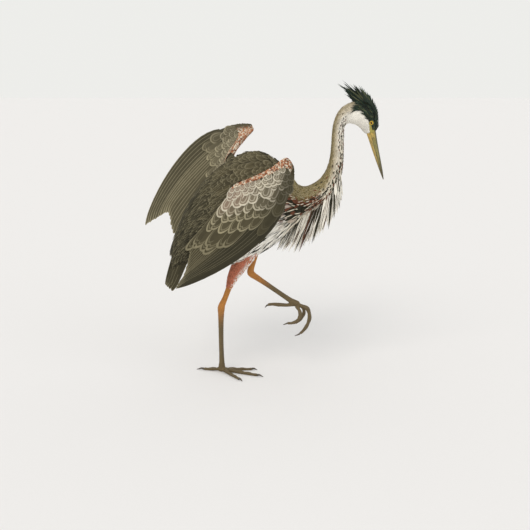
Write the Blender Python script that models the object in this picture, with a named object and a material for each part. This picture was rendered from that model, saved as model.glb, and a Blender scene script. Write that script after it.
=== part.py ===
"""Great blue heron, life size, stepping on one leg: a still model, each part of the body a solid of its own.

Metres, +Z up. The bird faces +X, its left side is +Y. The origin is on the floor under the ball of the standing foot.
Every outline here is that of the plumage, not of the bare skin.
"""

import math

import bmesh
import bpy
from mathutils import Vector

MID_Y = -0.024  # the body's middle plane: the bird leans its weight over the right foot
GAP = 0.0004  # between two pieces cut from one form
SWELL = 0.0007  # how far a neighbour is grown before it is cut from a piece

# The body from the side, from the feather edge at the bill to the tail coverts: each a point of the back (x, z),
# the point of the belly under it (x, z), and the half width between them.
SPINE = (
    (0.4331, 0.7011, 0.4065, 0.6929, 0.0110),
    (0.4368, 0.7150, 0.4005, 0.6965, 0.0142),
    (0.4358, 0.7320, 0.3925, 0.7060, 0.0180),
    (0.4305, 0.7500, 0.3840, 0.7138, 0.0202),
    (0.4185, 0.7670, 0.3745, 0.7190, 0.0208),
    (0.3960, 0.7795, 0.3640, 0.7216, 0.0204),
    (0.3690, 0.7810, 0.3555, 0.7222, 0.0198),
    (0.3430, 0.7702, 0.3490, 0.7190, 0.0190),
    (0.3250, 0.7500, 0.3450, 0.7120, 0.0182),
    (0.3160, 0.7260, 0.3437, 0.7020, 0.0174),
    (0.3119, 0.7000, 0.3438, 0.6880, 0.0167),
    (0.3100, 0.6640, 0.3440, 0.6600, 0.0165),
    (0.3065, 0.6260, 0.3439, 0.6215, 0.0180),
    (0.2967, 0.5941, 0.3401, 0.5799, 0.0210),
    (0.2791, 0.5688, 0.3243, 0.5362, 0.0252),
    (0.2559, 0.5531, 0.2945, 0.5009, 0.0310),
    (0.2337, 0.5475, 0.2600, 0.4755, 0.0372),
    (0.2130, 0.5600, 0.2310, 0.4560, 0.0460),
    (0.1890, 0.5930, 0.2060, 0.4340, 0.0570),
    (0.1450, 0.6340, 0.1720, 0.3960, 0.0680),
    (0.0820, 0.6480, 0.1220, 0.3620, 0.0750),
    (0.0120, 0.6120, 0.0650, 0.3340, 0.0740),
    (-0.0450, 0.5600, 0.0050, 0.3260, 0.0660),
    (-0.0880, 0.4980, -0.0500, 0.3290, 0.0550),
    (-0.1170, 0.4360, -0.0880, 0.3320, 0.0430),
    (-0.1360, 0.3840, -0.1080, 0.3280, 0.0310),
    (-0.1430, 0.3460, -0.1220, 0.3160, 0.0190),
)
SPINE_CUTS = {  # node: first and last station, rings, sides, how much narrower the back is than the middle
    "head": (0, 5, 10, 16, 0.10),
    "neck_upper": (5, 11, 12, 12, 0.0),
    "neck_middle": (11, 14, 6, 12, 0.0),
    "neck_lower": (14, 17, 7, 14, 0.10),
    "trunk": (17, 26, 18, 20, 0.30),
}

# Bill, along the line where the two halves close: distance from the root, height of the upper half,
# depth of the lower half, half width.
BILL_ROOT = Vector((0.4164, MID_Y, 0.6982))
BILL_TIP = Vector((0.4562, MID_Y, 0.5680))
BILL = (
    (0.0000, 0.0160, 0.0108, 0.0100),
    (0.0220, 0.0132, 0.0094, 0.0082),
    (0.0500, 0.0102, 0.0079, 0.0064),
    (0.0850, 0.0073, 0.0056, 0.0045),
    (0.1150, 0.0045, 0.0032, 0.0027),
    (0.1360, 0.0012, 0.0009, 0.0009),
)
EYE_RADIUS = 0.0072
EYE_PLACE = Vector((0.4172, 0.0118, 0.7238))  # y is the distance from the middle plane

# Plumes, each as root x, z and tip x, z. The crest runs from the forehead over the crown to the nape.
CREST = (
    (0.4290, 0.7140, 0.4392, 0.7364),
    (0.4285, 0.7315, 0.4345, 0.7634),
    (0.4260, 0.7480, 0.4200, 0.7890),
    (0.4215, 0.7615, 0.4055, 0.8070),
    (0.4150, 0.7712, 0.3860, 0.8215),
    (0.4065, 0.7765, 0.3640, 0.8290),
    (0.3990, 0.7776, 0.3225, 0.8320),
    (0.3910, 0.7765, 0.3400, 0.8125),
    (0.3845, 0.7725, 0.3530, 0.7970),
    (0.3790, 0.7690, 0.3690, 0.7830),
)
CREST_HALF_WIDTH = 0.0125
CREST_RAGGED = 0.14  # how much shorter every other plume is, as a share of its length
# The long plumes of the lower foreneck, from the throat side down to the breast.
PLUMES = (
    (0.332, 0.595, 0.342, 0.541),
    (0.327, 0.570, 0.339, 0.497),
    (0.313, 0.546, 0.321, 0.455),
    (0.293, 0.524, 0.292, 0.418),
    (0.267, 0.505, 0.254, 0.381),
    (0.241, 0.491, 0.218, 0.363),
    (0.211, 0.472, 0.186, 0.362),
    (0.184, 0.452, 0.156, 0.362),
)
PLUME_HALF_WIDTH = 0.020
PLUME_RAGGED = 0.10

# Tail: a roof of feathers under the rump, folded along its middle.
TAIL_ROOT = Vector((-0.1080, MID_Y, 0.4300))
TAIL_TIP = Vector((-0.1610, MID_Y, 0.2620))
TAIL_HALF_WIDTH = (0.026, 0.036)
TAIL_ARCH = (0.050, 0.030)
TAIL_FEATHERS = 6
TAIL_THICK = (0.0064, 0.0036)  # stacked feathers, at the root and at the tip
TAIL_ROUNDING = 0.05  # how much shorter the outermost feathers are
TAIL_SCALLOP = 0.03  # how far back the gaps between round feather tips reach

# Wings: guides from the innermost flight feather to the outermost, each as leading edge, bend and tip.
RIGHT_WING = (
    ((0.050, -0.102, 0.564), (0.006, -0.120, 0.480), (-0.076, -0.090, 0.398)),
    ((0.094, -0.120, 0.583), (0.056, -0.142, 0.482), (-0.086, -0.096, 0.346)),
    ((0.144, -0.132, 0.610), (0.119, -0.152, 0.485), (-0.100, -0.097, 0.304)),
    ((0.183, -0.130, 0.636), (0.161, -0.148, 0.458), (-0.115, -0.096, 0.284)),
    ((0.203, -0.124, 0.612), (0.205, -0.136, 0.408), (-0.121, -0.094, 0.272)),
)
LEFT_WING = (
    ((0.031, 0.104, 0.630), (-0.019, 0.084, 0.530), (-0.110, 0.046, 0.378)),
    ((0.049, 0.132, 0.655), (-0.033, 0.114, 0.561), (-0.143, 0.072, 0.401)),
    ((0.074, 0.152, 0.677), (-0.031, 0.140, 0.614), (-0.159, 0.096, 0.455)),
    ((0.092, 0.162, 0.694), (-0.065, 0.168, 0.663), (-0.198, 0.114, 0.435)),
    ((0.085, 0.164, 0.711), (-0.103, 0.186, 0.722), (-0.232, 0.126, 0.413)),
)
WRIST = 0.66  # where along the guides the forearm ends and the hand begins
COVERT_EDGE = 0.40  # how far down the feathers the thick, covered part of the wing reaches
WING_DEEPEST = 0.09  # how far behind the leading edge the wing is thickest
NOSE_SHARE = 0.28  # of that thickness, right at the leading edge
WING_THICK = (0.019, 0.012)  # at the elbow and at the outermost finger
SHOULDER_THICK = (0.026, 0.017)  # at the shoulder and at the elbow
VANE_THICK = 0.0026  # a stack of flight feathers
SECONDARIES = 8  # rounded ends along the edge
PRIMARIES = 6
WING_RAGGED = 0.03  # how much shorter every other point of the trailing edge is, as a share of the feather
# The scapulars bridge each wing to the body: this guide lies inside the trunk, the other is the wing's first.
RIGHT_SHOULDER = ((0.115, -0.022, 0.590), (0.045, -0.022, 0.540), (-0.050, -0.018, 0.450))
LEFT_SHOULDER = ((0.120, 0.000, 0.560), (0.060, 0.010, 0.510), (-0.050, 0.000, 0.430))

# Legs: x, y, z, half depth. The thigh is round and feathered, the shank and the tarsus are bare and narrower.
LEG_NARROW = 0.84  # their width as a share of their depth
RIGHT_LEG = {
    "thigh": ((0.098, -0.052, 0.410, 0.034), (0.078, -0.038, 0.362, 0.027), (0.052, -0.022, 0.318, 0.0215),
              (0.034, -0.013, 0.284, 0.0155), (0.0235, -0.008, 0.255, 0.0090)),
    "shank": ((0.0235, -0.008, 0.255, 0.0086), (0.0120, -0.004, 0.223, 0.0080), (0.0025, -0.001, 0.2015, 0.0098),
              (0.0, 0.0, 0.1905, 0.0108), (-0.0005, 0.0, 0.177, 0.0094)),
    "tarsus": ((-0.0005, 0.0, 0.177, 0.0094), (-0.0012, 0.0, 0.150, 0.0079), (-0.0012, 0.0, 0.090, 0.0070),
               (0.0, 0.0, 0.035, 0.0075), (0.0, 0.0, 0.015, 0.0100), (0.0, 0.0, 0.004, 0.0100), (0.0, 0.0, -0.001, 0.0082)),
}
LEFT_LEG = {
    "thigh": ((0.128, 0.004, 0.432, 0.030), (0.1125, 0.007, 0.390, 0.021), (0.1015, 0.008, 0.354, 0.0100)),
    "shank": ((0.1015, 0.008, 0.354, 0.0080), (0.0926, 0.009, 0.3235, 0.0078), (0.0858, 0.009, 0.304, 0.0098),
              (0.0863, 0.009, 0.293, 0.0108), (0.0966, 0.008, 0.2845, 0.0092)),
    "tarsus": ((0.0966, 0.008, 0.2845, 0.0092), (0.118, 0.006, 0.2705, 0.0076), (0.159, 0.001, 0.2430, 0.0068),
               (0.1965, -0.004, 0.2180, 0.0074), (0.2115, -0.006, 0.2090, 0.0096), (0.220, -0.007, 0.2055, 0.0096),
               (0.2245, -0.007, 0.2035, 0.0078)),
}
# Toes of the standing foot: heading in degrees from +X, length to the claw, radius at the root, claw length.
STANDING_TOES = {
    "toe_middle": (-24, 0.114, 0.0056, 0.020),
    "toe_hind": (170, 0.053, 0.0054, 0.024),
    "toe_inner": (5, 0.088, 0.0051, 0.017),
    "toe_outer": (-56, 0.096, 0.0051, 0.016),
}
KNUCKLE = 0.10  # how much a toe swells at its joints and thins between them
TOE_TAPER = 0.32
TOE_START = 0.004  # from the middle of the foot
TOE_LIFT = 0.0022  # of the root above the floor
TOE_PRESS = 0.14  # share of the radius pressed flat on the floor
CLAW_THICK = 0.0031
CLAW_POINT = 0.00045
CLAW_ROOT_HEIGHT = 0.0034
CLAW_ARCH = 0.0022
CLAW_DROP = 0.0026
TOE_JOINTS = {"toe_middle": 4, "toe_hind": 2, "toe_inner": 3, "toe_outer": 4}
# Toes of the lifted foot, each as six points from the ball to the claw's tip.
LIFTED_TOES = {
    "toe_middle": ((0.224, -0.008, 0.202), (0.249, -0.012, 0.193), (0.2555, -0.015, 0.165), (0.245, -0.017, 0.138),
                   (0.230, -0.019, 0.121), (0.2125, -0.020, 0.113)),
    "toe_hind": ((0.214, -0.004, 0.204), (0.189, -0.002, 0.2005), (0.167, -0.001, 0.2015), (0.1495, -0.001, 0.2030),
                 (0.1355, -0.001, 0.2015), (0.1265, -0.001, 0.1925)),
    "toe_inner": ((0.2175, -0.0168, 0.202), (0.2285, -0.0275, 0.185), (0.223, -0.036, 0.167), (0.2085, -0.040, 0.158),
                  (0.192, -0.044, 0.1580), (0.178, -0.045, 0.1535)),
    "toe_outer": ((0.2200, 0.0010, 0.202), (0.238, 0.0115, 0.190), (0.240, 0.018, 0.169), (0.230, 0.024, 0.150),
                  (0.217, 0.026, 0.1390), (0.2035, 0.027, 0.1370)),
}
LIFTED_TAPER = (1.08, 1.02, 0.96, 0.88, 0.70, 0.10)
LIFTED_CLAW = 4.05  # the point where the claw begins

COLOURS = {  # colour, roughness
    "plumage_grey": ((0.185, 0.170, 0.150), 0.85),
    "plumage_pale": ((0.640, 0.580, 0.490), 0.85),
    "plumage_black": ((0.020, 0.024, 0.022), 0.70),
    "plumage_rufous": ((0.420, 0.130, 0.060), 0.85),
    "bill_horn": ((0.420, 0.340, 0.090), 0.40),
    "leg_skin": ((0.200, 0.140, 0.060), 0.55),
    "claw_horn": ((0.045, 0.036, 0.026), 0.45),
    "eye": ((0.700, 0.560, 0.080), 0.15),
}


# Curves through stations

def between(pair, share):
    return pair[0] + (pair[1] - pair[0]) * share


def smooth_at(stations, t):
    """The stations' values at t, 0 at the first and 1 for each one after it, on a Catmull-Rom curve."""
    last = len(stations) - 1
    i = min(int(max(t, 0.0)), last - 1)
    f = t - i
    before, a, b, after = (stations[min(max(k, 0), last)] for k in (i - 1, i, i + 1, i + 2))
    return tuple(
        0.5 * (2 * q + (r - p) * f + (2 * p - 5 * q + 4 * r - s) * f * f + (3 * q - p - 3 * r + s) * f ** 3)
        for p, q, r, s in zip(before, a, b, after)
    )


def inset_ends(points_at, start, end, by):
    """start and end moved towards each other by a length, measured where the curves through the points are slowest."""
    step = 0.01 * (end - start)
    moved = []
    for t, way in ((start, step), (end, -step)):
        slowest = min((there - here).length for here, there in zip(points_at(t), points_at(t + way)))
        moved.append(t + by * way / slowest)
    return moved


# Meshes

def material(name):
    found = bpy.data.materials.get(name)
    if found:
        return found
    colour, roughness = COLOURS[name]
    made = bpy.data.materials.new(name)
    made.use_nodes = True
    shader = made.node_tree.nodes["Principled BSDF"]
    shader.inputs["Base Color"].default_value = (*colour, 1)
    shader.inputs["Roughness"].default_value = roughness
    return made


def face_outwards(bm):
    bmesh.ops.recalc_face_normals(bm, faces=bm.faces)
    if bm.calc_volume(signed=True) < 0:
        bmesh.ops.reverse_faces(bm, faces=bm.faces)


def add_object(name, bm, finish):
    """A scene object from a closed bmesh, its faces turned outwards."""
    face_outwards(bm)
    mesh = bpy.data.meshes.new(name)
    bm.to_mesh(mesh)
    bm.free()
    mesh.materials.append(material(finish))
    made = bpy.data.objects.new(name, mesh)
    bpy.context.scene.collection.objects.link(made)
    mesh.shade_smooth()
    mesh.set_sharp_from_angle(angle=math.radians(50))
    return made


def bridge(bm, rings):
    """Joins rings of equal count with quads and closes both ends."""
    for a, b in zip(rings, rings[1:]):
        for k in range(len(a)):
            n = (k + 1) % len(a)
            bm.faces.new((a[k], a[n], b[n], b[k]))
    bm.faces.new(rings[0])
    bm.faces.new(list(reversed(rings[-1])))


def loft(name, sections, finish, floor=None):
    """A closed form through sections, each a list of points round its edge. floor flattens what would sink below it."""
    bm = bmesh.new()
    rings = []
    for section in sections:
        ring = [bm.verts.new(p if floor is None else (p.x, p.y, max(p.z, floor))) for p in section]
        rings.append(ring)
    bridge(bm, rings)
    bmesh.ops.remove_doubles(bm, verts=bm.verts, dist=0.00002)
    bmesh.ops.dissolve_degenerate(bm, edges=bm.edges, dist=0.00001)
    return add_object(name, bm, finish)


def oval(centre, up, side, half_up, half_side, sides, narrow=0.0):
    """Points round an oval, narrowed towards the top by a share of its width."""
    points = []
    for k in range(sides):
        angle = 2 * math.pi * (k + 0.5) / sides
        rise, reach = math.cos(angle), math.sin(angle)
        points.append(centre + up * (half_up * rise) + side * (half_side * reach * (1 - narrow * rise)))
    return points


def tube(name, stations, finish, start=0.0, end=None, rings=10, sides=12, side=Vector((0, 1, 0)), floor=None):
    """A form along stations of x, y, z, half depth and half width."""
    end = len(stations) - 1 if end is None else end

    def point_at(t):
        return Vector(smooth_at(stations, t)[:3])

    first, final = inset_ends(lambda t: (point_at(t),), start, end, GAP / 2)
    sections = []
    for k in range(rings):
        t = first + (final - first) * k / (rings - 1)
        x, y, z, half_up, half_side = smooth_at(stations, t)
        tangent = (point_at(min(t + 0.02, len(stations) - 1)) - point_at(max(t - 0.02, 0))).normalized()
        across = (side - tangent * side.dot(tangent)).normalized()
        up = across.cross(tangent).normalized()
        sections.append(oval(Vector((x, y, z)), up, across, half_up, half_side, sides))
    return loft(name, sections, finish, floor)


def round_tube(name, stations, finish, **shape):
    return tube(name, [(x, y, z, r, r) for x, y, z, r in stations], finish, **shape)


def narrow_tube(name, stations, **shape):
    rows = [(x, y, z, r, r * LEG_NARROW) for x, y, z, r in stations]
    return tube(name, rows, "leg_skin", sides=10, **shape)


def sheet(name, grid, finish):
    """A closed plate from a grid of (point, half thickness vector)."""
    bm = bmesh.new()
    faces = {}
    for sign in (1, -1):
        faces[sign] = [[bm.verts.new(p + sign * h) for p, h in row] for row in grid]
    rows, columns = len(grid), len(grid[0])
    for sign in (1, -1):
        v = faces[sign]
        for i in range(rows - 1):
            for j in range(columns - 1):
                bm.faces.new((v[i][j], v[i + 1][j], v[i + 1][j + 1], v[i][j + 1]))
    rim = [(0, j) for j in range(columns)] + [(i, columns - 1) for i in range(1, rows)]
    rim += [(rows - 1, j) for j in reversed(range(columns - 1))] + [(i, 0) for i in reversed(range(1, rows - 1))]
    for (i, j), (m, n) in zip(rim, rim[1:] + rim[:1]):
        bm.faces.new((faces[1][i][j], faces[1][m][n], faces[-1][m][n], faces[-1][i][j]))
    return add_object(name, bm, finish)


# Cutting one piece back from another

def swollen(piece):
    """A hidden copy of a piece, grown by SWELL."""
    mesh = piece.data.copy()
    grown = [v.co + v.normal * SWELL for v in mesh.vertices]
    for vertex, place in zip(mesh.vertices, grown):
        vertex.co = place
    made = bpy.data.objects.new(piece.name + "_cutter", mesh)
    bpy.context.scene.collection.objects.link(made)
    made.hide_render = True
    made.display_type = "WIRE"
    return made


def tidy_shell(mesh):
    """Keeps the largest piece of a cut mesh, closes hairline edges and turns its faces outwards."""
    bm = bmesh.new()
    bm.from_mesh(mesh)
    bmesh.ops.remove_doubles(bm, verts=bm.verts, dist=0.00002)
    bmesh.ops.dissolve_degenerate(bm, edges=bm.edges, dist=0.00001)
    left, shells = set(bm.faces), []
    while left:
        todo, shell = [left.pop()], []
        while todo:
            face = todo.pop()
            shell.append(face)
            for edge in face.edges:
                beside = left.intersection(edge.link_faces)
                left -= beside
                todo += beside
        shells.append(shell)
    shells.sort(key=lambda shell: sum(face.calc_area() for face in shell))
    bmesh.ops.delete(bm, geom=[face for shell in shells[:-1] for face in shell], context="FACES")
    face_outwards(bm)
    bm.to_mesh(mesh)
    bm.free()


def carve(piece, *neighbours):
    """Cuts the grown neighbours out of a piece, and keeps what is left of it outside them."""
    for neighbour in neighbours:
        cutter = swollen(neighbour)
        cut = piece.modifiers.new("cut", "BOOLEAN")
        cut.operation = "DIFFERENCE"
        cut.solver = "EXACT"
        cut.object = cutter
        graph = bpy.context.evaluated_depsgraph_get()
        mesh = bpy.data.meshes.new_from_object(piece.evaluated_get(graph))
        piece.modifiers.clear()
        bpy.data.objects.remove(cutter)
        tidy_shell(mesh)
        mesh.name = piece.name
        piece.data = mesh
    return piece


# The bird

def back_and_belly(t):
    back_x, back_z, belly_x, belly_z, _ = smooth_at(SPINE, t)
    return Vector((back_x, MID_Y, back_z)), Vector((belly_x, MID_Y, belly_z))


def build_spine():
    """Head, neck and trunk: one form, parted by thin gaps."""
    parts = {}
    for name, (start, end, rings, sides, narrow) in SPINE_CUTS.items():
        first, final = inset_ends(back_and_belly, start, end, GAP / 2)
        sections = []
        for k in range(rings):
            t = first + (final - first) * k / (rings - 1)
            back, belly = back_and_belly(t)
            up = (back - belly).normalized()
            half_width = smooth_at(SPINE, t)[4]
            middle = (back + belly) / 2
            sections.append(oval(middle, up, Vector((0, 1, 0)), (back - middle).length, half_width, sides, narrow))
        parts[name] = loft(name, sections, "plumage_grey" if name == "trunk" else "plumage_pale")
    return parts


def build_bill(head):
    """Two long halves, each with one flat side, closing on a thin line."""
    along = (BILL_TIP - BILL_ROOT).normalized()
    side = Vector((0, 1, 0))
    up = along.cross(side)
    if up.x < 0:
        up.negate()
    arch = 9  # points over each half
    for name, sign, column in (("bill_upper", 1, 1), ("bill_lower", -1, 2)):
        sections = []
        for k in range(11):
            t = k / 10 * (len(BILL) - 1)
            values = smooth_at(BILL, t)
            centre = BILL_ROOT + along * values[0] + up * (sign * GAP / 2)
            section = []
            for n in range(arch):
                angle = math.pi * n / (arch - 1)
                ridge = max(math.sin(angle), 0.0) ** 0.85
                section.append(centre + side * (values[3] * math.cos(angle)) + up * (sign * values[column] * ridge))
            sections.append(section)
        carve(loft(name, sections, "bill_horn"), head)


def build_eyes(head):
    for name, sign in (("eye_right", -1), ("eye_left", 1)):
        bm = bmesh.new()
        bmesh.ops.create_uvsphere(bm, u_segments=12, v_segments=8, radius=EYE_RADIUS)
        place = Vector((EYE_PLACE.x, MID_Y + sign * EYE_PLACE.y, EYE_PLACE.z))
        bmesh.ops.rotate(bm, verts=bm.verts, matrix=Vector((0, 0, 1)).rotation_difference(Vector((0, 1, 0))).to_matrix())
        bmesh.ops.translate(bm, verts=bm.verts, vec=place)
        carve(head, add_object(name, bm, "eye"))


def fringe(name, plumes, columns, steps, half_width, ragged, finish):
    """A plate of plumes side by side, from their roots to a ragged line of tips, thinning all the way."""
    grid = []
    for i in range(columns):
        u = i / (columns - 1)
        root_x, root_z, tip_x, tip_z = smooth_at(plumes, u * (len(plumes) - 1))
        root, tip = Vector((root_x, MID_Y, root_z)), Vector((tip_x, MID_Y, tip_z))
        reach = 1 - ragged * (i % 2)
        row = []
        for j in range(steps):
            v = j / (steps - 1)
            half = half_width * (1 - v) ** 0.8 * (0.35 + 0.65 * math.sin(math.pi * (0.15 + 0.75 * u)))
            row.append((root.lerp(tip, v * reach), Vector((0, max(half, 0.0010), 0))))
        grid.append(row)
    return sheet(name, grid, finish)


def build_crest(head, neck_upper):
    crest = fringe("crest", CREST, 19, 4, CREST_HALF_WIDTH, CREST_RAGGED, "plumage_black")
    carve(crest, head, neck_upper)


def build_plumes(neighbours):
    plumes = fringe("breast_plumes", PLUMES, 23, 4, PLUME_HALF_WIDTH, PLUME_RAGGED, "plumage_pale")
    carve(plumes, *neighbours)


def build_tail(trunk):
    """A roof of stiff feathers, its end scalloped by their round tips."""
    along = TAIL_TIP - TAIL_ROOT
    down = Vector((-along.z, 0, along.x)).normalized()
    if down.z > 0:
        down.negate()
    across, steps = 2 * TAIL_FEATHERS + 1, 6
    grid = []
    for i in range(across):
        u = 2 * i / (across - 1) - 1
        scallop = TAIL_SCALLOP * (i % 2)
        row = []
        for j in range(steps):
            v = j / (steps - 1)
            reach = v * (1 - TAIL_ROUNDING * u * u - scallop)
            width = between(TAIL_HALF_WIDTH, v)
            arch = between(TAIL_ARCH, v)
            point = TAIL_ROOT + along * reach + Vector((0, width * u, 0)) + down * (arch * u * u)
            row.append((point, down * (between(TAIL_THICK, v) / 2)))
        grid.append(row)
    carve(sheet("tail", grid, "plumage_grey"), trunk)


def wing_point(guides, u, v):
    """A point on the wing: u runs from the innermost feather to the outermost, v from the leading edge to the tips."""
    flat = [tuple(n for point in guide for n in point) for guide in guides]
    values = smooth_at(flat, u * (len(guides) - 1))
    edge, bend, tip = (Vector(values[k:k + 3]) for k in (0, 3, 6))
    return edge * (1 - v) ** 2 + bend * (2 * v * (1 - v)) + tip * v ** 2


def wing_normal(guides, u, v):
    step = 0.01
    du = wing_point(guides, min(u + step, 1), v) - wing_point(guides, max(u - step, 0), v)
    dv = wing_point(guides, u, min(v + step, 1)) - wing_point(guides, u, max(v - step, 0))
    return du.cross(dv).normalized()


def wing_half_thickness(thick, u, v):
    """Round at the leading edge, thickest just behind it, then thin to the feathers."""
    bone = between(thick, u) / 2
    nose = between((NOSE_SHARE, 1.0), math.sqrt(min(v / WING_DEEPEST, 1.0)))
    fade = max(0.0, 1 - max(v - WING_DEEPEST, 0) / (COVERT_EDGE - WING_DEEPEST))
    fade = fade * fade * (3 - 2 * fade)
    return VANE_THICK / 2 + (bone - VANE_THICK / 2) * nose * fade


def wing_panel(name, guides, u_range, v_range, columns, steps, finish, thick=WING_THICK, ragged=0.0):
    """One part of the wing's plate. ragged makes every other point of its far edge shorter, as feather tips do."""
    corner = [wing_point(guides, u, v) for u in u_range for v in v_range]
    u_gap = GAP / 2 / (corner[2] - corner[0]).length * (u_range[1] - u_range[0])
    v_gap = GAP / 2 / (corner[1] - corner[0]).length * (v_range[1] - v_range[0])
    u0, u1 = (u_range[0] + u_gap * (u_range[0] > 0), u_range[1] - u_gap * (u_range[1] < 1))
    v0, v1 = (v_range[0] + v_gap * (v_range[0] > 0), v_range[1] - v_gap * (v_range[1] < 1))
    grid = []
    for i in range(columns):
        u = u0 + (u1 - u0) * i / (columns - 1)
        reach = 1 - ragged * ((i + 1) % 2)
        row = []
        for j in range(steps):
            v = v0 + (v1 - v0) * reach * j / (steps - 1)
            row.append((wing_point(guides, u, v), wing_normal(guides, u, v) * wing_half_thickness(thick, u, v)))
        grid.append(row)
    return sheet(name, grid, finish)


def build_wing(side, guides, shoulder, trunk):
    """Forearm, hand, the two fans of flight feathers, and the scapulars that bridge them to the trunk."""
    name = f"wing_{side}_"
    forearm = wing_panel(name + "forearm", guides, (0, WRIST), (0, COVERT_EDGE), 9, 8, "plumage_rufous")
    hand = wing_panel(name + "hand", guides, (WRIST, 1), (0, COVERT_EDGE), 7, 8, "plumage_rufous")
    secondaries = wing_panel(name + "secondaries", guides, (0, WRIST), (COVERT_EDGE, 1), 2 * SECONDARIES + 1, 5,
                             "plumage_grey", ragged=WING_RAGGED)
    primaries = wing_panel(name + "primaries", guides, (WRIST, 1), (COVERT_EDGE, 1), 2 * PRIMARIES + 1, 5,
                           "plumage_grey", ragged=WING_RAGGED)
    carve(secondaries, forearm, hand)
    carve(primaries, hand, forearm, secondaries)
    scapulars = wing_panel(name + "scapulars", (shoulder, guides[0]), (0, 1), (0, 1), 4, 9, "plumage_grey",
                           thick=SHOULDER_THICK)
    carve(scapulars, trunk, secondaries, forearm)


def build_standing_foot(tarsus):
    """Four spread toes, flat where they meet the floor, each with a claw."""
    toes = {}
    for part, (heading, length, radius, claw) in STANDING_TOES.items():
        way = Vector((math.cos(math.radians(heading)), math.sin(math.radians(heading)), 0))
        joints = TOE_JOINTS[part]
        stations = []
        steps = 2 * joints
        for k in range(steps + 1):
            s = k / steps
            knuckle = KNUCKLE * math.cos(2 * math.pi * joints * s)
            r = radius * (1 - TOE_TAPER * s) * (1 + knuckle)
            lift = TOE_LIFT * (1 - s) ** 2
            spot = way * between((TOE_START, length), s)
            stations.append((spot.x, spot.y, r * (1 - TOE_PRESS) + lift, r, r * 1.05))
        side = Vector((-way.y, way.x, 0))
        toe = tube(part + "_right", stations, "leg_skin", rings=steps + 1, sides=8, side=side, floor=0.0)
        carve(toe, tarsus, *toes.values())
        toes[part] = toe
        build_claw(part.replace("toe", "claw") + "_right", way, side, length, claw, toe)


def build_claw(name, way, side, start, length, toe):
    """A low curved spike that comes down to the floor at its tip."""
    stations = []
    for s in (0, 0.33, 0.67, 1):
        rise = CLAW_ROOT_HEIGHT + CLAW_ARCH * math.sin(math.pi * min(1.4 * s, 1)) - CLAW_DROP * s * s
        thick = CLAW_THICK * (1 - s) ** 0.8 + CLAW_POINT
        spot = way * (start + length * s)
        stations.append((spot.x, spot.y, rise, thick, thick * 0.8))
    carve(tube(name, stations, "claw_horn", rings=6, sides=6, side=side, floor=0.0), toe)


def build_lifted_foot(tarsus):
    """Four hanging, half-curled toes."""
    toes = {}
    for part, points in LIFTED_TOES.items():
        radius = STANDING_TOES[part][2]
        rows = [(*point, radius * taper) for point, taper in zip(points, LIFTED_TAPER)]
        joints = TOE_JOINTS[part]
        steps = 2 * joints
        last = len(rows) - 1
        stations, claw_stations = [], []
        for k in range(steps + 1):
            x, y, z, r = smooth_at(rows, LIFTED_CLAW * k / steps)
            r *= 1 + KNUCKLE * math.cos(math.pi * k)
            stations.append((x, y, z, r, r))
        for k in range(4):
            x, y, z, r = smooth_at(rows, between((LIFTED_CLAW, last), k / 3))
            r *= between((0.72, 1.0), k / 3)
            claw_stations.append((x, y, z, r, r))
        side = Vector((0, 1, 0))
        toe = tube(part + "_left", stations, "leg_skin", rings=steps + 1, sides=8, side=side)
        carve(toe, tarsus, *toes.values())
        toes[part] = toe
        claw = tube(part.replace("toe", "claw") + "_left", claw_stations, "claw_horn", rings=5, sides=6, side=side)
        carve(claw, toe)


def build_leg(side, leg, trunk):
    """Thigh, shank and tarsus, and the foot below them."""
    thigh = round_tube(f"thigh_{side}", leg["thigh"], "plumage_rufous", rings=8, sides=12)
    carve(thigh, trunk)
    shank = carve(narrow_tube(f"shank_{side}", leg["shank"], rings=9), thigh)
    return carve(narrow_tube(f"tarsus_{side}", leg["tarsus"], rings=12, floor=0.0), shank)


def main():
    for obj in list(bpy.data.objects):
        bpy.data.objects.remove(obj)
    spine = build_spine()
    build_eyes(spine["head"])
    build_bill(spine["head"])
    build_crest(spine["head"], spine["neck_upper"])
    build_plumes([spine["neck_middle"], spine["neck_lower"], spine["trunk"]])
    build_tail(spine["trunk"])
    build_wing("right", RIGHT_WING, RIGHT_SHOULDER, spine["trunk"])
    build_wing("left", LEFT_WING, LEFT_SHOULDER, spine["trunk"])
    build_standing_foot(build_leg("right", RIGHT_LEG, spine["trunk"]))
    build_lifted_foot(build_leg("left", LEFT_LEG, spine["trunk"]))


main()
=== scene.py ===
"""Great blue heron, life size: skin, plumage, bill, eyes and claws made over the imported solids.

Metres, +Z up. The bird faces +X and its middle plane is y = MID_Y.
"""

import math

import bpy
import numpy as np
from mathutils import Matrix, Vector
from mathutils.bvhtree import BVHTree


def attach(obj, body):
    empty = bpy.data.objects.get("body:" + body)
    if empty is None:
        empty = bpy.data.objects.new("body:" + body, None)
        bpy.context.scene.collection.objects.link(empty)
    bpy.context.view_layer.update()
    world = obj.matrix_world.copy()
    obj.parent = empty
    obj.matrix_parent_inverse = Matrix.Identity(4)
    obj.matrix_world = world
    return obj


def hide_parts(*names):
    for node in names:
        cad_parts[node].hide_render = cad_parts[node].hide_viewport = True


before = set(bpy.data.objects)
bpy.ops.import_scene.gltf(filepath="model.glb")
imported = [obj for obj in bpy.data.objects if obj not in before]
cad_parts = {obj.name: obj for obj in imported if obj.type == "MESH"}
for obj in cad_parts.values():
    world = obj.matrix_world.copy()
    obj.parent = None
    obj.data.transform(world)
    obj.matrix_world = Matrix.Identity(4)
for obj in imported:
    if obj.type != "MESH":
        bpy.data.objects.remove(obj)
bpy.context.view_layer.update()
SEED = 12
SIDES = ("left", "right")
LAYERS = ("main", "margin", "shaft")  # the colours that every vane carries

# Where the solids are, as they were driven.
MID_Y = -0.024
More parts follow.
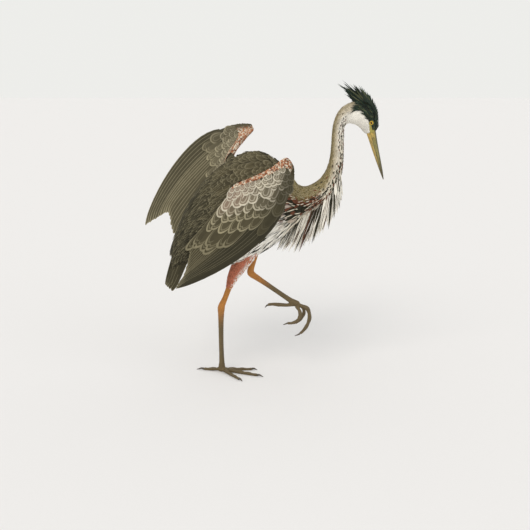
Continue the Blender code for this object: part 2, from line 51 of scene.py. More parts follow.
# Back x, z and belly x, z, from the feather edge at the bill to the tail coverts.
SPINE = np.array((
    (0.4331, 0.7011, 0.4065, 0.6929), (0.4368, 0.7150, 0.4005, 0.6965), (0.4358, 0.7320, 0.3925, 0.7060),
    (0.4305, 0.7500, 0.3840, 0.7138), (0.4185, 0.7670, 0.3745, 0.7190), (0.3960, 0.7795, 0.3640, 0.7216),
    (0.3690, 0.7810, 0.3555, 0.7222), (0.3430, 0.7702, 0.3490, 0.7190), (0.3250, 0.7500, 0.3450, 0.7120),
    (0.3160, 0.7260, 0.3437, 0.7020), (0.3119, 0.7000, 0.3438, 0.6880), (0.3100, 0.6640, 0.3440, 0.6600),
    (0.3065, 0.6260, 0.3439, 0.6215), (0.2967, 0.5941, 0.3401, 0.5799), (0.2791, 0.5688, 0.3243, 0.5362),
    (0.2559, 0.5531, 0.2945, 0.5009), (0.2337, 0.5475, 0.2600, 0.4755), (0.2130, 0.5600, 0.2310, 0.4560),
    (0.1890, 0.5930, 0.2060, 0.4340), (0.1450, 0.6340, 0.1720, 0.3960), (0.0820, 0.6480, 0.1220, 0.3620),
    (0.0120, 0.6120, 0.0650, 0.3340), (-0.0450, 0.5600, 0.0050, 0.3260), (-0.0880, 0.4980, -0.0500, 0.3290),
    (-0.1170, 0.4360, -0.0880, 0.3320), (-0.1360, 0.3840, -0.1080, 0.3280), (-0.1430, 0.3460, -0.1220, 0.3160),
))
NAPE, NECK_FOOT, RUMP = 5.2, 14.0, 26.0  # stations of the spine

# Wings: guides from the innermost flight feather to the outermost, each as leading edge, bend and tip.
WINGS = {
    "right": np.array((
        (0.050, -0.102, 0.564, 0.006, -0.120, 0.480, -0.076, -0.090, 0.398),
        (0.094, -0.120, 0.583, 0.056, -0.142, 0.482, -0.086, -0.096, 0.346),
        (0.144, -0.132, 0.610, 0.119, -0.152, 0.485, -0.100, -0.097, 0.304),
        (0.183, -0.130, 0.636, 0.161, -0.148, 0.458, -0.115, -0.096, 0.284),
        (0.203, -0.124, 0.612, 0.205, -0.136, 0.408, -0.121, -0.094, 0.272),
    )),
    "left": np.array((
        (0.031, 0.104, 0.630, -0.019, 0.084, 0.530, -0.110, 0.046, 0.378),
        (0.049, 0.132, 0.655, -0.033, 0.114, 0.561, -0.143, 0.072, 0.401),
        (0.074, 0.152, 0.677, -0.031, 0.140, 0.614, -0.159, 0.096, 0.455),
        (0.092, 0.162, 0.694, -0.065, 0.168, 0.663, -0.198, 0.114, 0.435),
        (0.085, 0.164, 0.711, -0.103, 0.186, 0.722, -0.232, 0.126, 0.413),
    )),
}
SHOULDERS = {  # the scapulars' inner guides, inside the trunk
    "right": (0.115, -0.022, 0.590, 0.045, -0.022, 0.540, -0.050, -0.018, 0.450),
    "left": (0.120, 0.000, 0.560, 0.060, 0.010, 0.510, -0.050, 0.000, 0.430),
}
WING_DEEPEST, NOSE_SHARE, COVERT_EDGE, WRIST = 0.09, 0.28, 0.40, 0.66
WING_THICK, SHOULDER_THICK, VANE_THICK = (0.019, 0.012), (0.026, 0.017), 0.0026

# Legs: x, y, z, half depth. Shanks are narrower than deep.
LEG_NARROW = 0.84
THIGHS = {
    "right": ((0.098, -0.052, 0.410, 0.034), (0.078, -0.038, 0.362, 0.027), (0.052, -0.022, 0.318, 0.0215),
              (0.034, -0.013, 0.284, 0.0155), (0.0235, -0.008, 0.255, 0.0090)),
    "left": ((0.128, 0.004, 0.432, 0.030), (0.1125, 0.007, 0.390, 0.021), (0.1015, 0.008, 0.354, 0.0100)),
}
TARSI = {
    "right": ((-0.0005, 0.0, 0.177, 0.0094), (-0.0012, 0.0, 0.150, 0.0079), (-0.0012, 0.0, 0.090, 0.0070),
              (0.0, 0.0, 0.035, 0.0075), (0.0, 0.0, 0.015, 0.0100)),
    "left": ((0.0966, 0.008, 0.2845, 0.0092), (0.118, 0.006, 0.2705, 0.0076), (0.159, 0.001, 0.2430, 0.0068),
             (0.1965, -0.004, 0.2180, 0.0074), (0.2115, -0.006, 0.2090, 0.0096)),
}
TOES_RIGHT = {"middle": (-24, 0.114, 0.0056), "hind": (170, 0.053, 0.0054), "inner": (5, 0.088, 0.0051),
              "outer": (-56, 0.096, 0.0051)}  # heading in degrees from +X, length, radius
TOE_JOINTS = {"middle": 4, "hind": 2, "inner": 3, "outer": 4}
TOES_LEFT = {
    "middle": ((0.224, -0.008, 0.202), (0.249, -0.012, 0.193), (0.2555, -0.015, 0.165), (0.245, -0.017, 0.138),
               (0.230, -0.019, 0.121)),
    "hind": ((0.214, -0.004, 0.204), (0.189, -0.002, 0.2005), (0.167, -0.001, 0.2015), (0.1495, -0.001, 0.2030),
             (0.1355, -0.001, 0.2015)),
    "inner": ((0.2175, -0.0168, 0.202), (0.2285, -0.0275, 0.185), (0.223, -0.036, 0.167), (0.2085, -0.040, 0.158),
              (0.192, -0.044, 0.1580)),
    "outer": ((0.2200, 0.0010, 0.202), (0.238, 0.0115, 0.190), (0.240, 0.018, 0.169), (0.230, 0.024, 0.150),
              (0.217, 0.026, 0.1390)),
}
LIFTED_TAPER = (1.08, 1.02, 0.96, 0.88, 0.70)
JOINT_SWELLING = 0.10
BILL_ROOT, BILL_TIP = Vector((0.4164, MID_Y, 0.6982)), Vector((0.4562, MID_Y, 0.5680))
BILL = (  # distance from the root, height above the gape, depth below it, half width
    (0.0000, 0.0160, 0.0108, 0.0100), (0.0220, 0.0132, 0.0094, 0.0082), (0.0500, 0.0102, 0.0079, 0.0064),
    (0.0850, 0.0073, 0.0056, 0.0045), (0.1150, 0.0045, 0.0032, 0.0027), (0.1360, 0.0012, 0.0009, 0.0009),
)
EYE, EYE_OUT, EYE_RADIUS = Vector((0.4172, MID_Y, 0.7238)), 0.0118, 0.0072
CREST = (  # root x, z and tip x, z of plumes from the forehead to the nape
    (0.4290, 0.7140, 0.4392, 0.7364), (0.4285, 0.7315, 0.4345, 0.7634), (0.4260, 0.7480, 0.4200, 0.7890),
    (0.4215, 0.7615, 0.4055, 0.8070), (0.4150, 0.7712, 0.3860, 0.8215), (0.4065, 0.7765, 0.3640, 0.8290),
    (0.3990, 0.7776, 0.3225, 0.8320), (0.3910, 0.7765, 0.3400, 0.8125), (0.3845, 0.7725, 0.3530, 0.7970),
    (0.3790, 0.7690, 0.3690, 0.7830),
)
PLUMES = (  # the same for the lower foreneck, from the throat side down to the breast
    (0.332, 0.595, 0.342, 0.541), (0.327, 0.570, 0.339, 0.497), (0.313, 0.546, 0.321, 0.455),
    (0.293, 0.524, 0.292, 0.418), (0.267, 0.505, 0.254, 0.381), (0.241, 0.491, 0.218, 0.363),
    (0.211, 0.472, 0.186, 0.362), (0.184, 0.452, 0.156, 0.362),
)
TAIL_ROOT, TAIL_TIP = Vector((-0.1080, MID_Y, 0.4300)), Vector((-0.1610, MID_Y, 0.2620))
TAIL_HALF_WIDTH, TAIL_ARCH, TAIL_FEATHERS = (0.026, 0.036), (0.050, 0.030), 12
STIFF_TIP = 0.09  # share of a stiff feather's length over which its margin turns round the end
FLIGHT_FEATHERS = 19  # on each wing
COVERT_THICK, COVERT_CAMBER = 0.00025, 0.12


def srgb(red, green, blue):
    """A colour mixed as on a palette, 0 to 255, in the linear values that shaders take."""
    share = np.array((red, green, blue)) / 255
    return np.where(share <= 0.04045, share / 12.92, ((share + 0.055) / 1.055) ** 2.4)


INK = srgb(22, 31, 26)
DARK = srgb(52, 49, 34)
SLATE = srgb(76, 70, 49)
DRAB = srgb(112, 105, 84)
MANTLE_GREY = srgb(82, 75, 54)
COVERT_PALE = srgb(122, 114, 95)
PALE_EDGE = srgb(204, 196, 177)
QUIET_EDGE = srgb(148, 140, 113)
ROSY = srgb(160, 132, 116)
OLIVE = srgb(138, 123, 80)
BUFF = srgb(200, 186, 158)
CREAM = srgb(224, 214, 192)
WHITE = srgb(240, 236, 226)
CHESTNUT = srgb(112, 68, 48)
ORANGE = srgb(190, 132, 98)
ROSE = srgb(196, 118, 90)
OCHRE = srgb(188, 126, 58)
BARK = srgb(106, 90, 60)
LORE = srgb(176, 164, 84)
CLAW_BROWNS = ((40, 34, 26), (92, 80, 60), (60, 50, 38))  # dark, pale and in the grooves
LID_BROWNS = ((58, 60, 34), (124, 124, 62), (52, 50, 30))


# Curves and fields

def on_curve(stations, t):
    """Rows of values at each t, 0 at the first station and 1 for each one after it, on a Catmull-Rom curve."""
    stations = np.asarray(stations, float)
    t = np.atleast_1d(np.asarray(t, float))
    last = len(stations) - 1
    i = np.clip(t.astype(int), 0, last - 1)
    f = (t - i)[:, None]
    p, q, r, s = (stations[np.clip(i + k, 0, last)] for k in (-1, 0, 1, 2))
    return 0.5 * (2 * q + (r - p) * f + (2 * p - 5 * q + 4 * r - s) * f ** 2 + (3 * q - p - 3 * r + s) * f ** 3)


def between(pair, share):
    return pair[0] + (pair[1] - pair[0]) * share


def unit(vectors):
    return vectors / np.maximum(np.linalg.norm(vectors, axis=-1, keepdims=True), 1e-12)


def ramp(x, low, high):
    """0 below low, 1 above high, smooth between them."""
    share = np.clip((x - low) / (high - low), 0, 1)
    return share * share * (3 - 2 * share)


def blend(a, b, share):
    share = np.asarray(share, float)[..., None]
    return a * (1 - share) + b * share


def back_and_belly(t):
    """Two rows of points, on the back and under it, at stations t of the spine."""
    values = on_curve(SPINE, t)
    side = np.full(len(values), MID_Y)
    return (np.stack((values[:, 0], side, values[:, 1]), 1), np.stack((values[:, 2], side, values[:, 3]), 1))


def spine_place(points):
    """Station and height, 0 at the belly and 1 at the back, of each point."""
    stations = np.arange(0, RUMP + 0.01, 0.2)
    back, belly = back_and_belly(stations)
    up = (back - belly)[:, (0, 2)]
    reach = (up ** 2).sum(1)
    best = np.full(len(points), np.inf)
    station, height = np.zeros(len(points)), np.zeros(len(points))
    for k, t in enumerate(stations):
        away = points[:, (0, 2)] - belly[k, (0, 2)]
        share = away @ up[k] / reach[k]
        gap = ((away - np.clip(share, 0, 1)[:, None] * up[k]) ** 2).sum(1)
        nearer = gap < best
        best[nearer] = gap[nearer]
        station[nearer], height[nearer] = t, share[nearer]
    return station, height


# Markings, the same for the skin and for the feathers over it

def crown_edge(t):
    """The height down to which the head is black."""
    return 0.60 - 0.03 * t + 0.26 * ramp(t, 2.6, 4.8)


def body_colours(t, height, chance):
    """Main, margin and shaft colours of the plumage at places on the spine.

    chance is a random share for each of them.
    """
    mantle = blend(MANTLE_GREY, DARK, 0.9 * ramp(t, 19.6, 22.0))
    hind_neck = blend(BUFF, OLIVE, ramp(t, 5.6, 9.5))
    olive_from = 0.66 - 0.26 * ramp(t, 11.5, 14.5)
    neck = blend(blend(WHITE, CREAM, 0.8 * ramp(t, 8, 13)), BUFF, 0.8 * ramp(height, 0.42, 0.68))
    neck = blend(neck, hind_neck, ramp(height, olive_from, olive_from + 0.26))
    cheek = blend(WHITE, BUFF, 0.7 * ramp(height, 0.5, 0.9) * ramp(t, 3.6, 5.6))
    edge = crown_edge(t)
    head = blend(cheek, INK, ramp(height, edge - 0.03, edge + 0.03) * (t < 5.3))
    main = blend(head, neck, ramp(t, 4.9, 5.8))
    neck_base = blend(blend(CHESTNUT * 0.9, DARK * 0.7, chance < 0.46), OLIVE, ramp(height, 0.54, 0.68))
    on_base = ramp(t, 14.2, 14.8) * ramp(height, 0.10, 0.18)
    main = blend(main, neck_base, on_base)
    # the dark flank reaches down to the tail
    low_edge = 0.44 - 0.34 * ramp(t, 21.0, 23.0) - 0.5 * ramp(t, 23.4, 24.2)
    flank = blend(WHITE + 0 * main, mantle, ramp(height, low_edge - 0.05, low_edge + 0.05))
    main = blend(main, flank, ramp(t, 17.6, 18.4))
    on_hind_neck = ramp(t, 5.4, 8.0) * (1 - ramp(t, 17.4, 18.2)) * ramp(height, 0.40, 0.76)
    shaft = blend(main * 0.62, main * 0.45, on_hind_neck)
    margin = blend(main, CREAM, 0.35 * (1 - 0.4 * on_hind_neck))
    # quiet margins on the mantle, cream dashes on the breast side, dark streaks below
    on_mantle = ramp(t, 17.6, 18.4) * ramp(height, low_edge, low_edge + 0.06)
    margin = blend(margin, blend(main, QUIET_EDGE, 0.42), on_mantle)
    dashed = on_base * (1 - ramp(t, 17.8, 18.4)) * (1 - ramp(height, 0.60, 0.72))
    margin = blend(margin, main, dashed)
    shaft = blend(shaft, blend(main, CREAM, np.sin(chance * 60) > 0.1), dashed)
    streaked = ramp(t, 15.5, 17.0) * (1 - ramp(height, low_edge - 0.08, low_edge)) * (1 - on_base * (t < 17.8))
    main = blend(main, DARK * 0.5, streaked * (chance < 0.15))
    shaft = blend(shaft, blend(main, DARK * 0.5, chance < 0.48), streaked)
    return main, margin, shaft


def spot_colours(chance):
    """Dark brown or chestnut dashes down the foreneck."""
    main = blend(DARK, CHESTNUT, ramp(chance, 0.55, 0.75))
    return main, main * 1.3, main


# Meshes of many vanes

OUTLINES = {  # share along the vane, share of its full half width
    "round": ((0, 0.35), (0.20, 0.72), (0.40, 0.95), (0.60, 1.0), (0.70, 0.97), (0.79, 0.88), (0.87, 0.74),
              (0.93, 0.56), (0.975, 0.34), (1.0, 0.08)),
    "small": ((0, 0.45), (0.35, 0.95), (0.65, 1.0), (0.88, 0.66), (1.0, 0.10)),
    "lance": ((0, 0.30), (0.12, 0.75), (0.30, 1.0), (0.50, 0.95), (0.70, 0.70), (0.87, 0.38), (1.0, 0.04)),
    "strap": ((0, 0.30), (0.08, 0.70), (0.20, 0.95), (0.36, 1.0), (0.52, 1.0), (0.70, 0.99), (0.82, 0.93),
              (0.90, 0.80), (0.95, 0.62), (0.985, 0.38), (1.0, 0.10)),
    "quill": ((0, 0.30), (0.06, 0.62), (0.13, 0.84), (0.20, 0.95), (0.27, 1.0), (0.34, 1.0), (0.41, 1.0),
              (0.48, 1.0), (0.55, 1.0), (0.62, 1.0), (0.69, 0.99), (0.76, 0.97), (0.83, 0.92), (0.89, 0.82),
              (0.935, 0.68), (0.965, 0.50), (0.988, 0.30), (1.0, 0.10)),
    "scute": ((0, 0.96), (0.5, 1.0), (0.85, 0.96), (1.0, 0.80)),
}
SCUTE_ARC = np.radians(np.linspace(-76, 76, 7))  # how far a scute wraps round its limb
# Across a vane: place from side to side, height in thicknesses, and height in half widths. The last point of each
# is underneath.
SECTIONS = {
    "narrow": ((-1, 0, 0), (0, 1, 0), (1, 0, 0), (0, -0.8, 0)),
    "broad": ((-1, 0, 0), (-0.55, 0.6, 0), (0, 1.1, 0), (0.55, 0.6, 0), (1, 0, 0), (0, -0.8, 0)),
    "toe": (*((math.sin(a), 1.0, math.cos(a)) for a in SCUTE_ARC), (0, 0, 0.1)),
    "shin": (*((math.sin(a), 1.0, math.cos(a) / LEG_NARROW) for a in SCUTE_ARC), (0, 0, 0.1)),
}


def shares(outline):
    """Where the stations of an outline lie, from the root at 0 to the tip at 1."""
    return np.array(OUTLINES[outline])[:, 0]


def traced(outline, at):
    """Centre lines and normals, (vanes, stations, 3), from what a function gives at each share of the length."""
    path, ups = zip(*(at(s) for s in shares(outline)))
    return np.stack(path, 1), np.stack(ups, 1)


class Coat:
    """Feathers or scutes gathered as arrays, and made one joined mesh at the end."""

    def __init__(self):
        self.points, self.quads, self.vane, self.bake, self.colours = [], [], [], [], []
        self.count = 0

    def add(self, path, up, half, outline, place, colours, section="narrow", thick=0.00022, camber=0.0, tilt=0.0,
            patch=0.003, widths=(0.0, 0.0, 0.0)):
        """path and up are (vanes, stations, 3), half is each vane's half width, and place its root on the unwrap.

        colours are main, margin and shaft. widths are those of margin and shaft, and the inner lines' strength.
        camber is the drop of the sides in shares of the half width, tilt the rise from one side to the other.
        """
        share = np.array(OUTLINES[outline])
        profile = np.array(SECTIONS[section])
        vanes, stations, ring = len(path), len(share), len(profile)
        along = np.gradient(path, axis=1)
        side = unit(np.cross(unit(along), up))
        rise = np.cross(side, unit(along))
        reach = (np.asarray(half, float)[:, None] * share[:, 1])[..., None]
        x, z, arch = profile.T
        across = side[:, :, None] * (reach * x)[..., None]
        camber = np.broadcast_to(np.asarray(camber, float), (vanes,))[:, None, None]
        thinned = 0.35 + 0.65 * share[:, 1][None, :, None]  # thinner where the vane is narrow
        lift = reach * (tilt * x - camber * x ** 2 + arch) + z * thick * thinned
        points = path[:, :, None] + across + rise[:, :, None] * lift[..., None]
        self.points.append(points.reshape(-1, 3))
        start = self.count + np.arange(vanes)[:, None] * (stations * ring)
        k = np.arange(ring)
        rows = (np.arange(stations - 1) * ring)[:, None]
        here, following = rows + k, rows + (k + 1) % ring
        walls = np.stack((here, following, following + ring, here + ring), -1).reshape(-1, 4)
        caps = [(0, n + 2, n + 1, n) for n in range(1, ring - 2, 2)]
        last = (stations - 1) * ring
        ends = [(last, last + n, last + n + 1, last + n + 2) for n in range(1, ring - 2, 2)]
        one = np.concatenate((walls, caps, ends)).astype(np.int64)
        self.quads.append((start[:, :, None] + one).reshape(-1, 4))
        vane = np.stack(np.broadcast_arrays((x[None] + 1) / 2, share[:, :1]), -1).reshape(1, -1, 2)
        vane = np.broadcast_to(vane, (vanes, stations * ring, 2))
        self.vane.append(vane.reshape(-1, 2))
        patch = np.array(np.broadcast_to(patch, (2,)), float)
        self.bake.append((np.asarray(place)[:, None] + (vane - 0.5) * patch).reshape(-1, 2))
        rgba = []
        for colour, width in zip(colours, widths):
            colour = np.broadcast_to(colour, (vanes, 3))
            width = np.broadcast_to(width, (vanes,))
            rgba.append(np.repeat(np.concatenate((colour, width[:, None]), 1), stations * ring, 0))
        self.colours.append(np.stack(rgba, 1))
        self.count += vanes * stations * ring

    def make(self, name, finish, slot, *nodes):
        points = np.concatenate(self.points).astype(np.float32)
        quads = np.concatenate(self.quads).astype(np.int32)
        mesh = bpy.data.meshes.new(name)
        mesh.vertices.add(len(points))
        mesh.vertices.foreach_set("co", points.ravel())
        mesh.loops.add(quads.size)
        mesh.loops.foreach_set("vertex_index", quads.ravel())
        mesh.polygons.add(len(quads))
        mesh.polygons.foreach_set("loop_start", np.arange(0, quads.size, 4, dtype=np.int32))
        mesh.update(calc_edges=True)
        bake = np.clip(np.concatenate(self.bake), 0.001, 0.999)
        for label, values in (("OFBake", bake), ("Vane", np.concatenate(self.vane))):
            corners = values[quads.ravel()].astype(np.float32)
            mesh.uv_layers.new(name=label).data.foreach_set("uv", corners.ravel())
        colours = np.concatenate(self.colours).astype(np.float32)
        for k, label in enumerate(LAYERS):
            mesh.attributes.new(label, "FLOAT_COLOR", "POINT").data.foreach_set("color", colours[:, k].ravel())
        mesh.shade_smooth()
        mesh.set_sharp_from_angle(angle=math.radians(70))
        return placed(bpy.data.objects.new(name, mesh), finish, slot, *nodes)


def placed(piece, finish, slot, *nodes):
    """Puts a finished piece in the scene, on the bird's one body, in place of the solids it stands for."""
    if piece.name not in bpy.context.scene.collection.objects:
        bpy.context.scene.collection.objects.link(piece)
    piece.data.materials.clear()
    piece.data.materials.append(finish)
    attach(piece, "root")
    if nodes:
        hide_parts(*nodes)
    return piece


# Skin

def deselect():
    bpy.ops.object.select_all(action="DESELECT")


def apply_modifier(piece, kind, **settings):
    bpy.context.view_layer.objects.active = piece
    made = piece.modifiers.new(kind.lower(), kind)
    for key, value in settings.items():
        setattr(made, key, value)
    bpy.ops.object.modifier_apply(modifier=made.name)


def clean():
    """Merges the chosen points that coincide, and turns the faces outwards."""
    bpy.ops.mesh.select_all(action="SELECT")
    bpy.ops.mesh.remove_doubles(threshold=0.00001)
    bpy.ops.mesh.normals_make_consistent(inside=False)


def fused(name, nodes, voxel, smooth, swell=0.0006):
    """One closed mesh from copies of solids: swollen till they meet, joined, remeshed and smoothed."""
    deselect()
    copies = []
    for node in nodes:
        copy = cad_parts[node].copy()
        copy.data = copy.data.copy()
        copy.parent = None
        copy.hide_viewport = False
        copy.hide_render = False
        for key in list(copy.keys()):
            del copy[key]
        bpy.context.scene.collection.objects.link(copy)
        copy.select_set(True)
        copies.append(copy)
    bpy.context.view_layer.objects.active = copies[0]
    edit()
    clean()
    bpy.ops.transform.shrink_fatten(value=swell)
    bpy.ops.object.mode_set(mode="OBJECT")
    if len(copies) > 1:
        bpy.ops.object.join()
    whole = done(name)
    apply_modifier(whole, "REMESH", mode="VOXEL", voxel_size=voxel)
    apply_modifier(whole, "SMOOTH", factor=0.5, iterations=smooth)
    whole.data.shade_smooth()
    deselect()
    return whole


def vertex_rows(values, field="co"):
    """Rows of x, y and z, read from a mesh's points or from their normals."""
    rows = np.empty(len(values) * 3, np.float32)
    values.foreach_get(field, rows)
    return rows.reshape(-1, 3).astype(float)


def tree_of(piece):
    return BVHTree.FromObject(piece, bpy.context.evaluated_depsgraph_get())


BODY_NODES = ("head", "neck_upper", "neck_middle", "neck_lower", "trunk")
WING_FLESH = ("forearm", "hand", "scapulars")
COAT_DEPTH = {"head": 0.0010, "neck": 0.0020, "body": 0.0040, "wing": 0.0016}
MOST_SKIN_TRIANGLES = 180000


def on_wings(points):
    """Whether points lie far enough from the middle plane to be on a wing."""
    return np.abs(points[:, 1] - MID_Y) > 0.078


def bareness(points):
    """1 where the skin is bare: shanks, feet and lores. 0 under feathers."""
    x, y, z = points.T
    right = (z < 0.26) & (np.hypot(x, y) < 0.16)
    left = (z > 0.10) & (z < 0.352) & (x > 0.075) & (x < 0.30) & (y > -0.06) & (y < 0.03)
    left = left & ((z < 0.300) | (np.abs(x - 0.095) < 0.02))
    return np.maximum((right | left).astype(float), in_lore(points))


def in_lore(points):
    """1 on the bare skin between the eye and the bill."""
    a = np.array((EYE.x, EYE.z))
    b = np.array((BILL_ROOT.x + 0.004, BILL_ROOT.z + 0.001))
    along = b - a
    p = points[:, (0, 2)] - a
    share = np.clip(p @ along / (along @ along), 0, 1)
    away = np.linalg.norm(p - share[:, None] * along, axis=1)
    return 1 - ramp(away, 0.0070, 0.0085)


def build_skin():
    nodes = list(BODY_NODES)
    for side in SIDES:
        nodes += [f"wing_{side}_{part}" for part in WING_FLESH]
        nodes += [f"thigh_{side}", f"shank_{side}", f"tarsus_{side}"]
        nodes += [f"toe_{toe}_{side}" for toe in TOES_RIGHT]
    skin = fused("skin", nodes, 0.0015, 5)
    places = vertex_rows(skin.data.vertices)
    normals = vertex_rows(skin.data.vertex_normals, "vector")
    t, _ = spine_place(places)
    depth = np.select((on_wings(places), t < NAPE, t < NECK_FOOT),
                      [COAT_DEPTH[part] for part in ("wing", "head", "neck")], COAT_DEPTH["body"])
    depth = depth * (1 - bareness(places)) + 0.0004
    tree = tree_of(skin)
    for k, (place, normal) in enumerate(zip(places, normals)):
        _, _, _, far = tree.ray_cast(Vector(place - normal * 0.0002), Vector(-normal), 0.02)
        if far is not None:
            depth[k] = min(depth[k], 0.30 * far)
    moved = places - normals * depth[:, None]
    skin.data.vertices.foreach_set("co", moved.astype(np.float32).ravel())
    apply_modifier(skin, "DECIMATE", ratio=min(1.0, MOST_SKIN_TRIANGLES / (2 * len(skin.data.polygons))))
    colour_skin(skin)
    return placed(skin, skin_material(), "plumage_grey", *nodes)


def leg_colours(points):
    """Ochre about the heels, bark brown below them."""
    x, z = points[:, 0], points[:, 2]
    lifted = (z > 0.10) & (x > 0.075)
    heel = np.where(lifted, ramp(z, 0.240, 0.285) * (1 - ramp(x, 0.118, 0.160)), ramp(z, 0.128, 0.204))
    return blend(BARK, OCHRE, heel)


def colour_skin(skin):
    """The coat's own markings, a little darker, and the bare parts' colours, as vertex colours."""
    places = vertex_rows(skin.data.vertices)
    t, height = spine_place(places)
    chance = 0.5 + 0.49 * np.sin(places @ np.array((1910.0, 2330.0, 2750.0)))
    main, _, _ = body_colours(t, height, chance)
    main = np.where(on_wings(places)[:, None], SLATE, main)
    thigh = (places[:, 2] < 0.40) & (places[:, 2] > 0.255) & (t > 18) & (height < 0.02)
    main = np.where(thigh[:, None], ROSE, main)
    bare = bareness(places)
    bare_colour = blend(leg_colours(places), LORE, in_lore(places) > 0.01)
    main = blend(main * 0.85, bare_colour, bare)
    values = np.concatenate((main, bare[:, None]), 1).astype(np.float32)
    skin.data.attributes.new("main", "FLOAT_COLOR", "POINT").data.foreach_set("color", values.ravel())


# Feathers laid along the body

def body_paths(tree, t, angle, length, share, sweep, lift):
    """Centre lines over the body's surface, from stations t at angles round the spine, 0 on the back.

    lift is the height of root and tip over the surface. Returns points, normals and heights of the roots.
    """
    count, stations = len(t), len(share)
    points, ups = np.zeros((count, stations, 3)), np.zeros((count, stations, 3))
    heights = np.zeros(count)
    step = 0.05
    lower = np.clip(t - step, 0, RUMP)
    upper = np.clip(t + step, 0, RUMP)
    back_a, belly_a = back_and_belly(lower)
    back_b, belly_b = back_and_belly(upper)
    tall = (np.cos(angle) + 1)[:, None] / 2
    moved = (back_b - back_a) * tall + (belly_b - belly_a) * (1 - tall)
    speed = np.maximum(np.linalg.norm(moved, axis=1) / (upper - lower), 0.004)
    for k, s in enumerate(share):
        here = t + s * length / speed
        inside = np.clip(here, 0, RUMP)
        back, belly = back_and_belly(inside)
        middle = (back + belly) / 2
        up = unit(back - belly)
        turn = angle + sweep * s
        way = up * np.cos(turn)[:, None] + np.array((0, 1, 0)) * np.sin(turn)[:, None]
        for n in range(count):
            hit, normal, _, _ = tree.ray_cast(Vector(middle[n]), Vector(way[n]))
            if hit is None:
                hit, normal = Vector(middle[n] + way[n] * 0.01), Vector(way[n])
            if hit.dot(normal) - Vector(middle[n]).dot(normal) < 0:
                normal = -normal
            points[n, k], ups[n, k] = hit, normal
        if k == 0:
            reach = np.linalg.norm(back - belly, axis=1)
            heights = 0.5 + ((points[:, 0] - middle) * up).sum(1) / reach
        past = here - inside
        if k and (past > 0).any():
            run = unit(points[:, k - 1] - points[:, max(k - 2, 0)] + 1e-9)
            gone = past > 0
            points[gone, k] = points[gone, k - 1] + run[gone] * ((s - share[k - 1]) * length[gone])[:, None]
            ups[gone, k] = ups[gone, k - 1]
    return points + ups * between(lift, share)[:, None], ups, heights


def body_rows(rng, start, end, row, column):
    """Stations and angles in staggered rows round the spine. row and column are spacings in metres."""
    t, angle = [], []
    here, odd = start, 0
    while here < end:
        back, belly = (p[0] for p in back_and_belly(here))
        a, b = (p[0] for p in back_and_belly(here + 0.1))
        speed = max(np.linalg.norm((a + b - back - belly) / 2) / 0.1, 0.004)
        half_up = np.linalg.norm(back - belly) / 2
        half_side = half_width(here)
        girth = 2 * math.pi * math.sqrt((half_up ** 2 + half_side ** 2) / 2)
        count = max(int(girth / column), 6)
        turn = (np.arange(count) + 0.5 * odd) / count * 2 * math.pi - math.pi
        turn = turn + rng.uniform(-0.28, 0.28, count) * 2 * math.pi / count
        t.append(np.full(count, here) + rng.uniform(-0.3, 0.3, count) * row / speed)
        angle.append(turn)
        here += row / speed
        odd = 1 - odd
    return np.clip(np.concatenate(t), 0, RUMP), np.concatenate(angle)


# Half the body's width at each station of the spine.
HALF_WIDTHS = (0.011, 0.0142, 0.018, 0.0202, 0.0208, 0.0204, 0.0198, 0.0190, 0.0182, 0.0174, 0.0167, 0.0165,
               0.0180, 0.0210, 0.0252, 0.0310, 0.0372, 0.0460, 0.0570, 0.0680, 0.0750, 0.0740, 0.0660, 0.0550,
               0.0430, 0.0310, 0.0190)


def half_width(t):
    return float(np.interp(t, range(len(HALF_WIDTHS)), HALF_WIDTHS))


def unwrap(t, angle):
    """A place in 0 to 1 on the body's unwrap: round the spine, and along it."""
    return np.stack((0.01 + 0.98 * ((angle + math.pi) / (2 * math.pi) % 1), 0.01 + 0.98 * t / RUMP), 1)


def lay_on_body(coat, tree, rng, span, spacing, length, half, outline, keep, lift, widths, section="narrow",
                jitter=0.06, tint=None, vary=0.12):
    """A field of body feathers. keep chooses by station and height, and tint colours by station and chance.

    length, half and lift go from their first value to their second. Length and half do so over the span, and lift
    over each vane.
    """
    t, angle = body_rows(rng, *span, *spacing)
    chosen = keep(t, (np.cos(angle) + 1) / 2)
    t, angle = t[chosen], angle[chosen]
    grown = ramp(t, *span)
    long = between(length, grown) * rng.uniform(0.85, 1.12, len(t))
    wide = between(half, grown) * rng.uniform(0.88, 1.1, len(t))
    path, up, height = body_paths(tree, t, angle, long, shares(outline), rng.normal(0, jitter, len(t)), lift)
    chance = rng.uniform(0, 1, len(t))
    main, margin, shaft = tint(t, chance) if tint else body_colours(t, height, chance)
    shade = rng.uniform(1 - vary, 1 + vary, len(t))[:, None]
    coat.add(path, up, wide, outline, unwrap(t, angle), (main * shade, margin * shade, shaft), section,
             camber=0.10, widths=widths)


def not_lore(t, height):
    """Leaves the bare skin round the eye and before it free of feathers."""
    back, belly = back_and_belly(t)
    points = belly + (back - belly) * height[:, None]
    flat = np.abs(2 * height - 1) < 0.93675  # on the sides of the head
    near_eye = np.linalg.norm(points[:, (0, 2)] - np.array((EYE.x, EYE.z)), axis=1) < 0.0080
    return ~(flat & ((in_lore(points) > 0.5) | near_eye))


def build_head_plumage(tree, rng):
    coat = Coat()
    lay_on_body(coat, tree, rng, (0.15, 5.7), (0.0019, 0.0019), (0.0042, 0.0075), (0.0012, 0.0016), "small",
                not_lore, (-0.0008, 0.0005), (0.0, 0.25, 0.0), vary=0.10)
    return coat.make("head_feathers", feather_material("head_vanes", 10, 0.35, root=0.87), "plumage_pale")


def everywhere(t, height):
    return height > -1


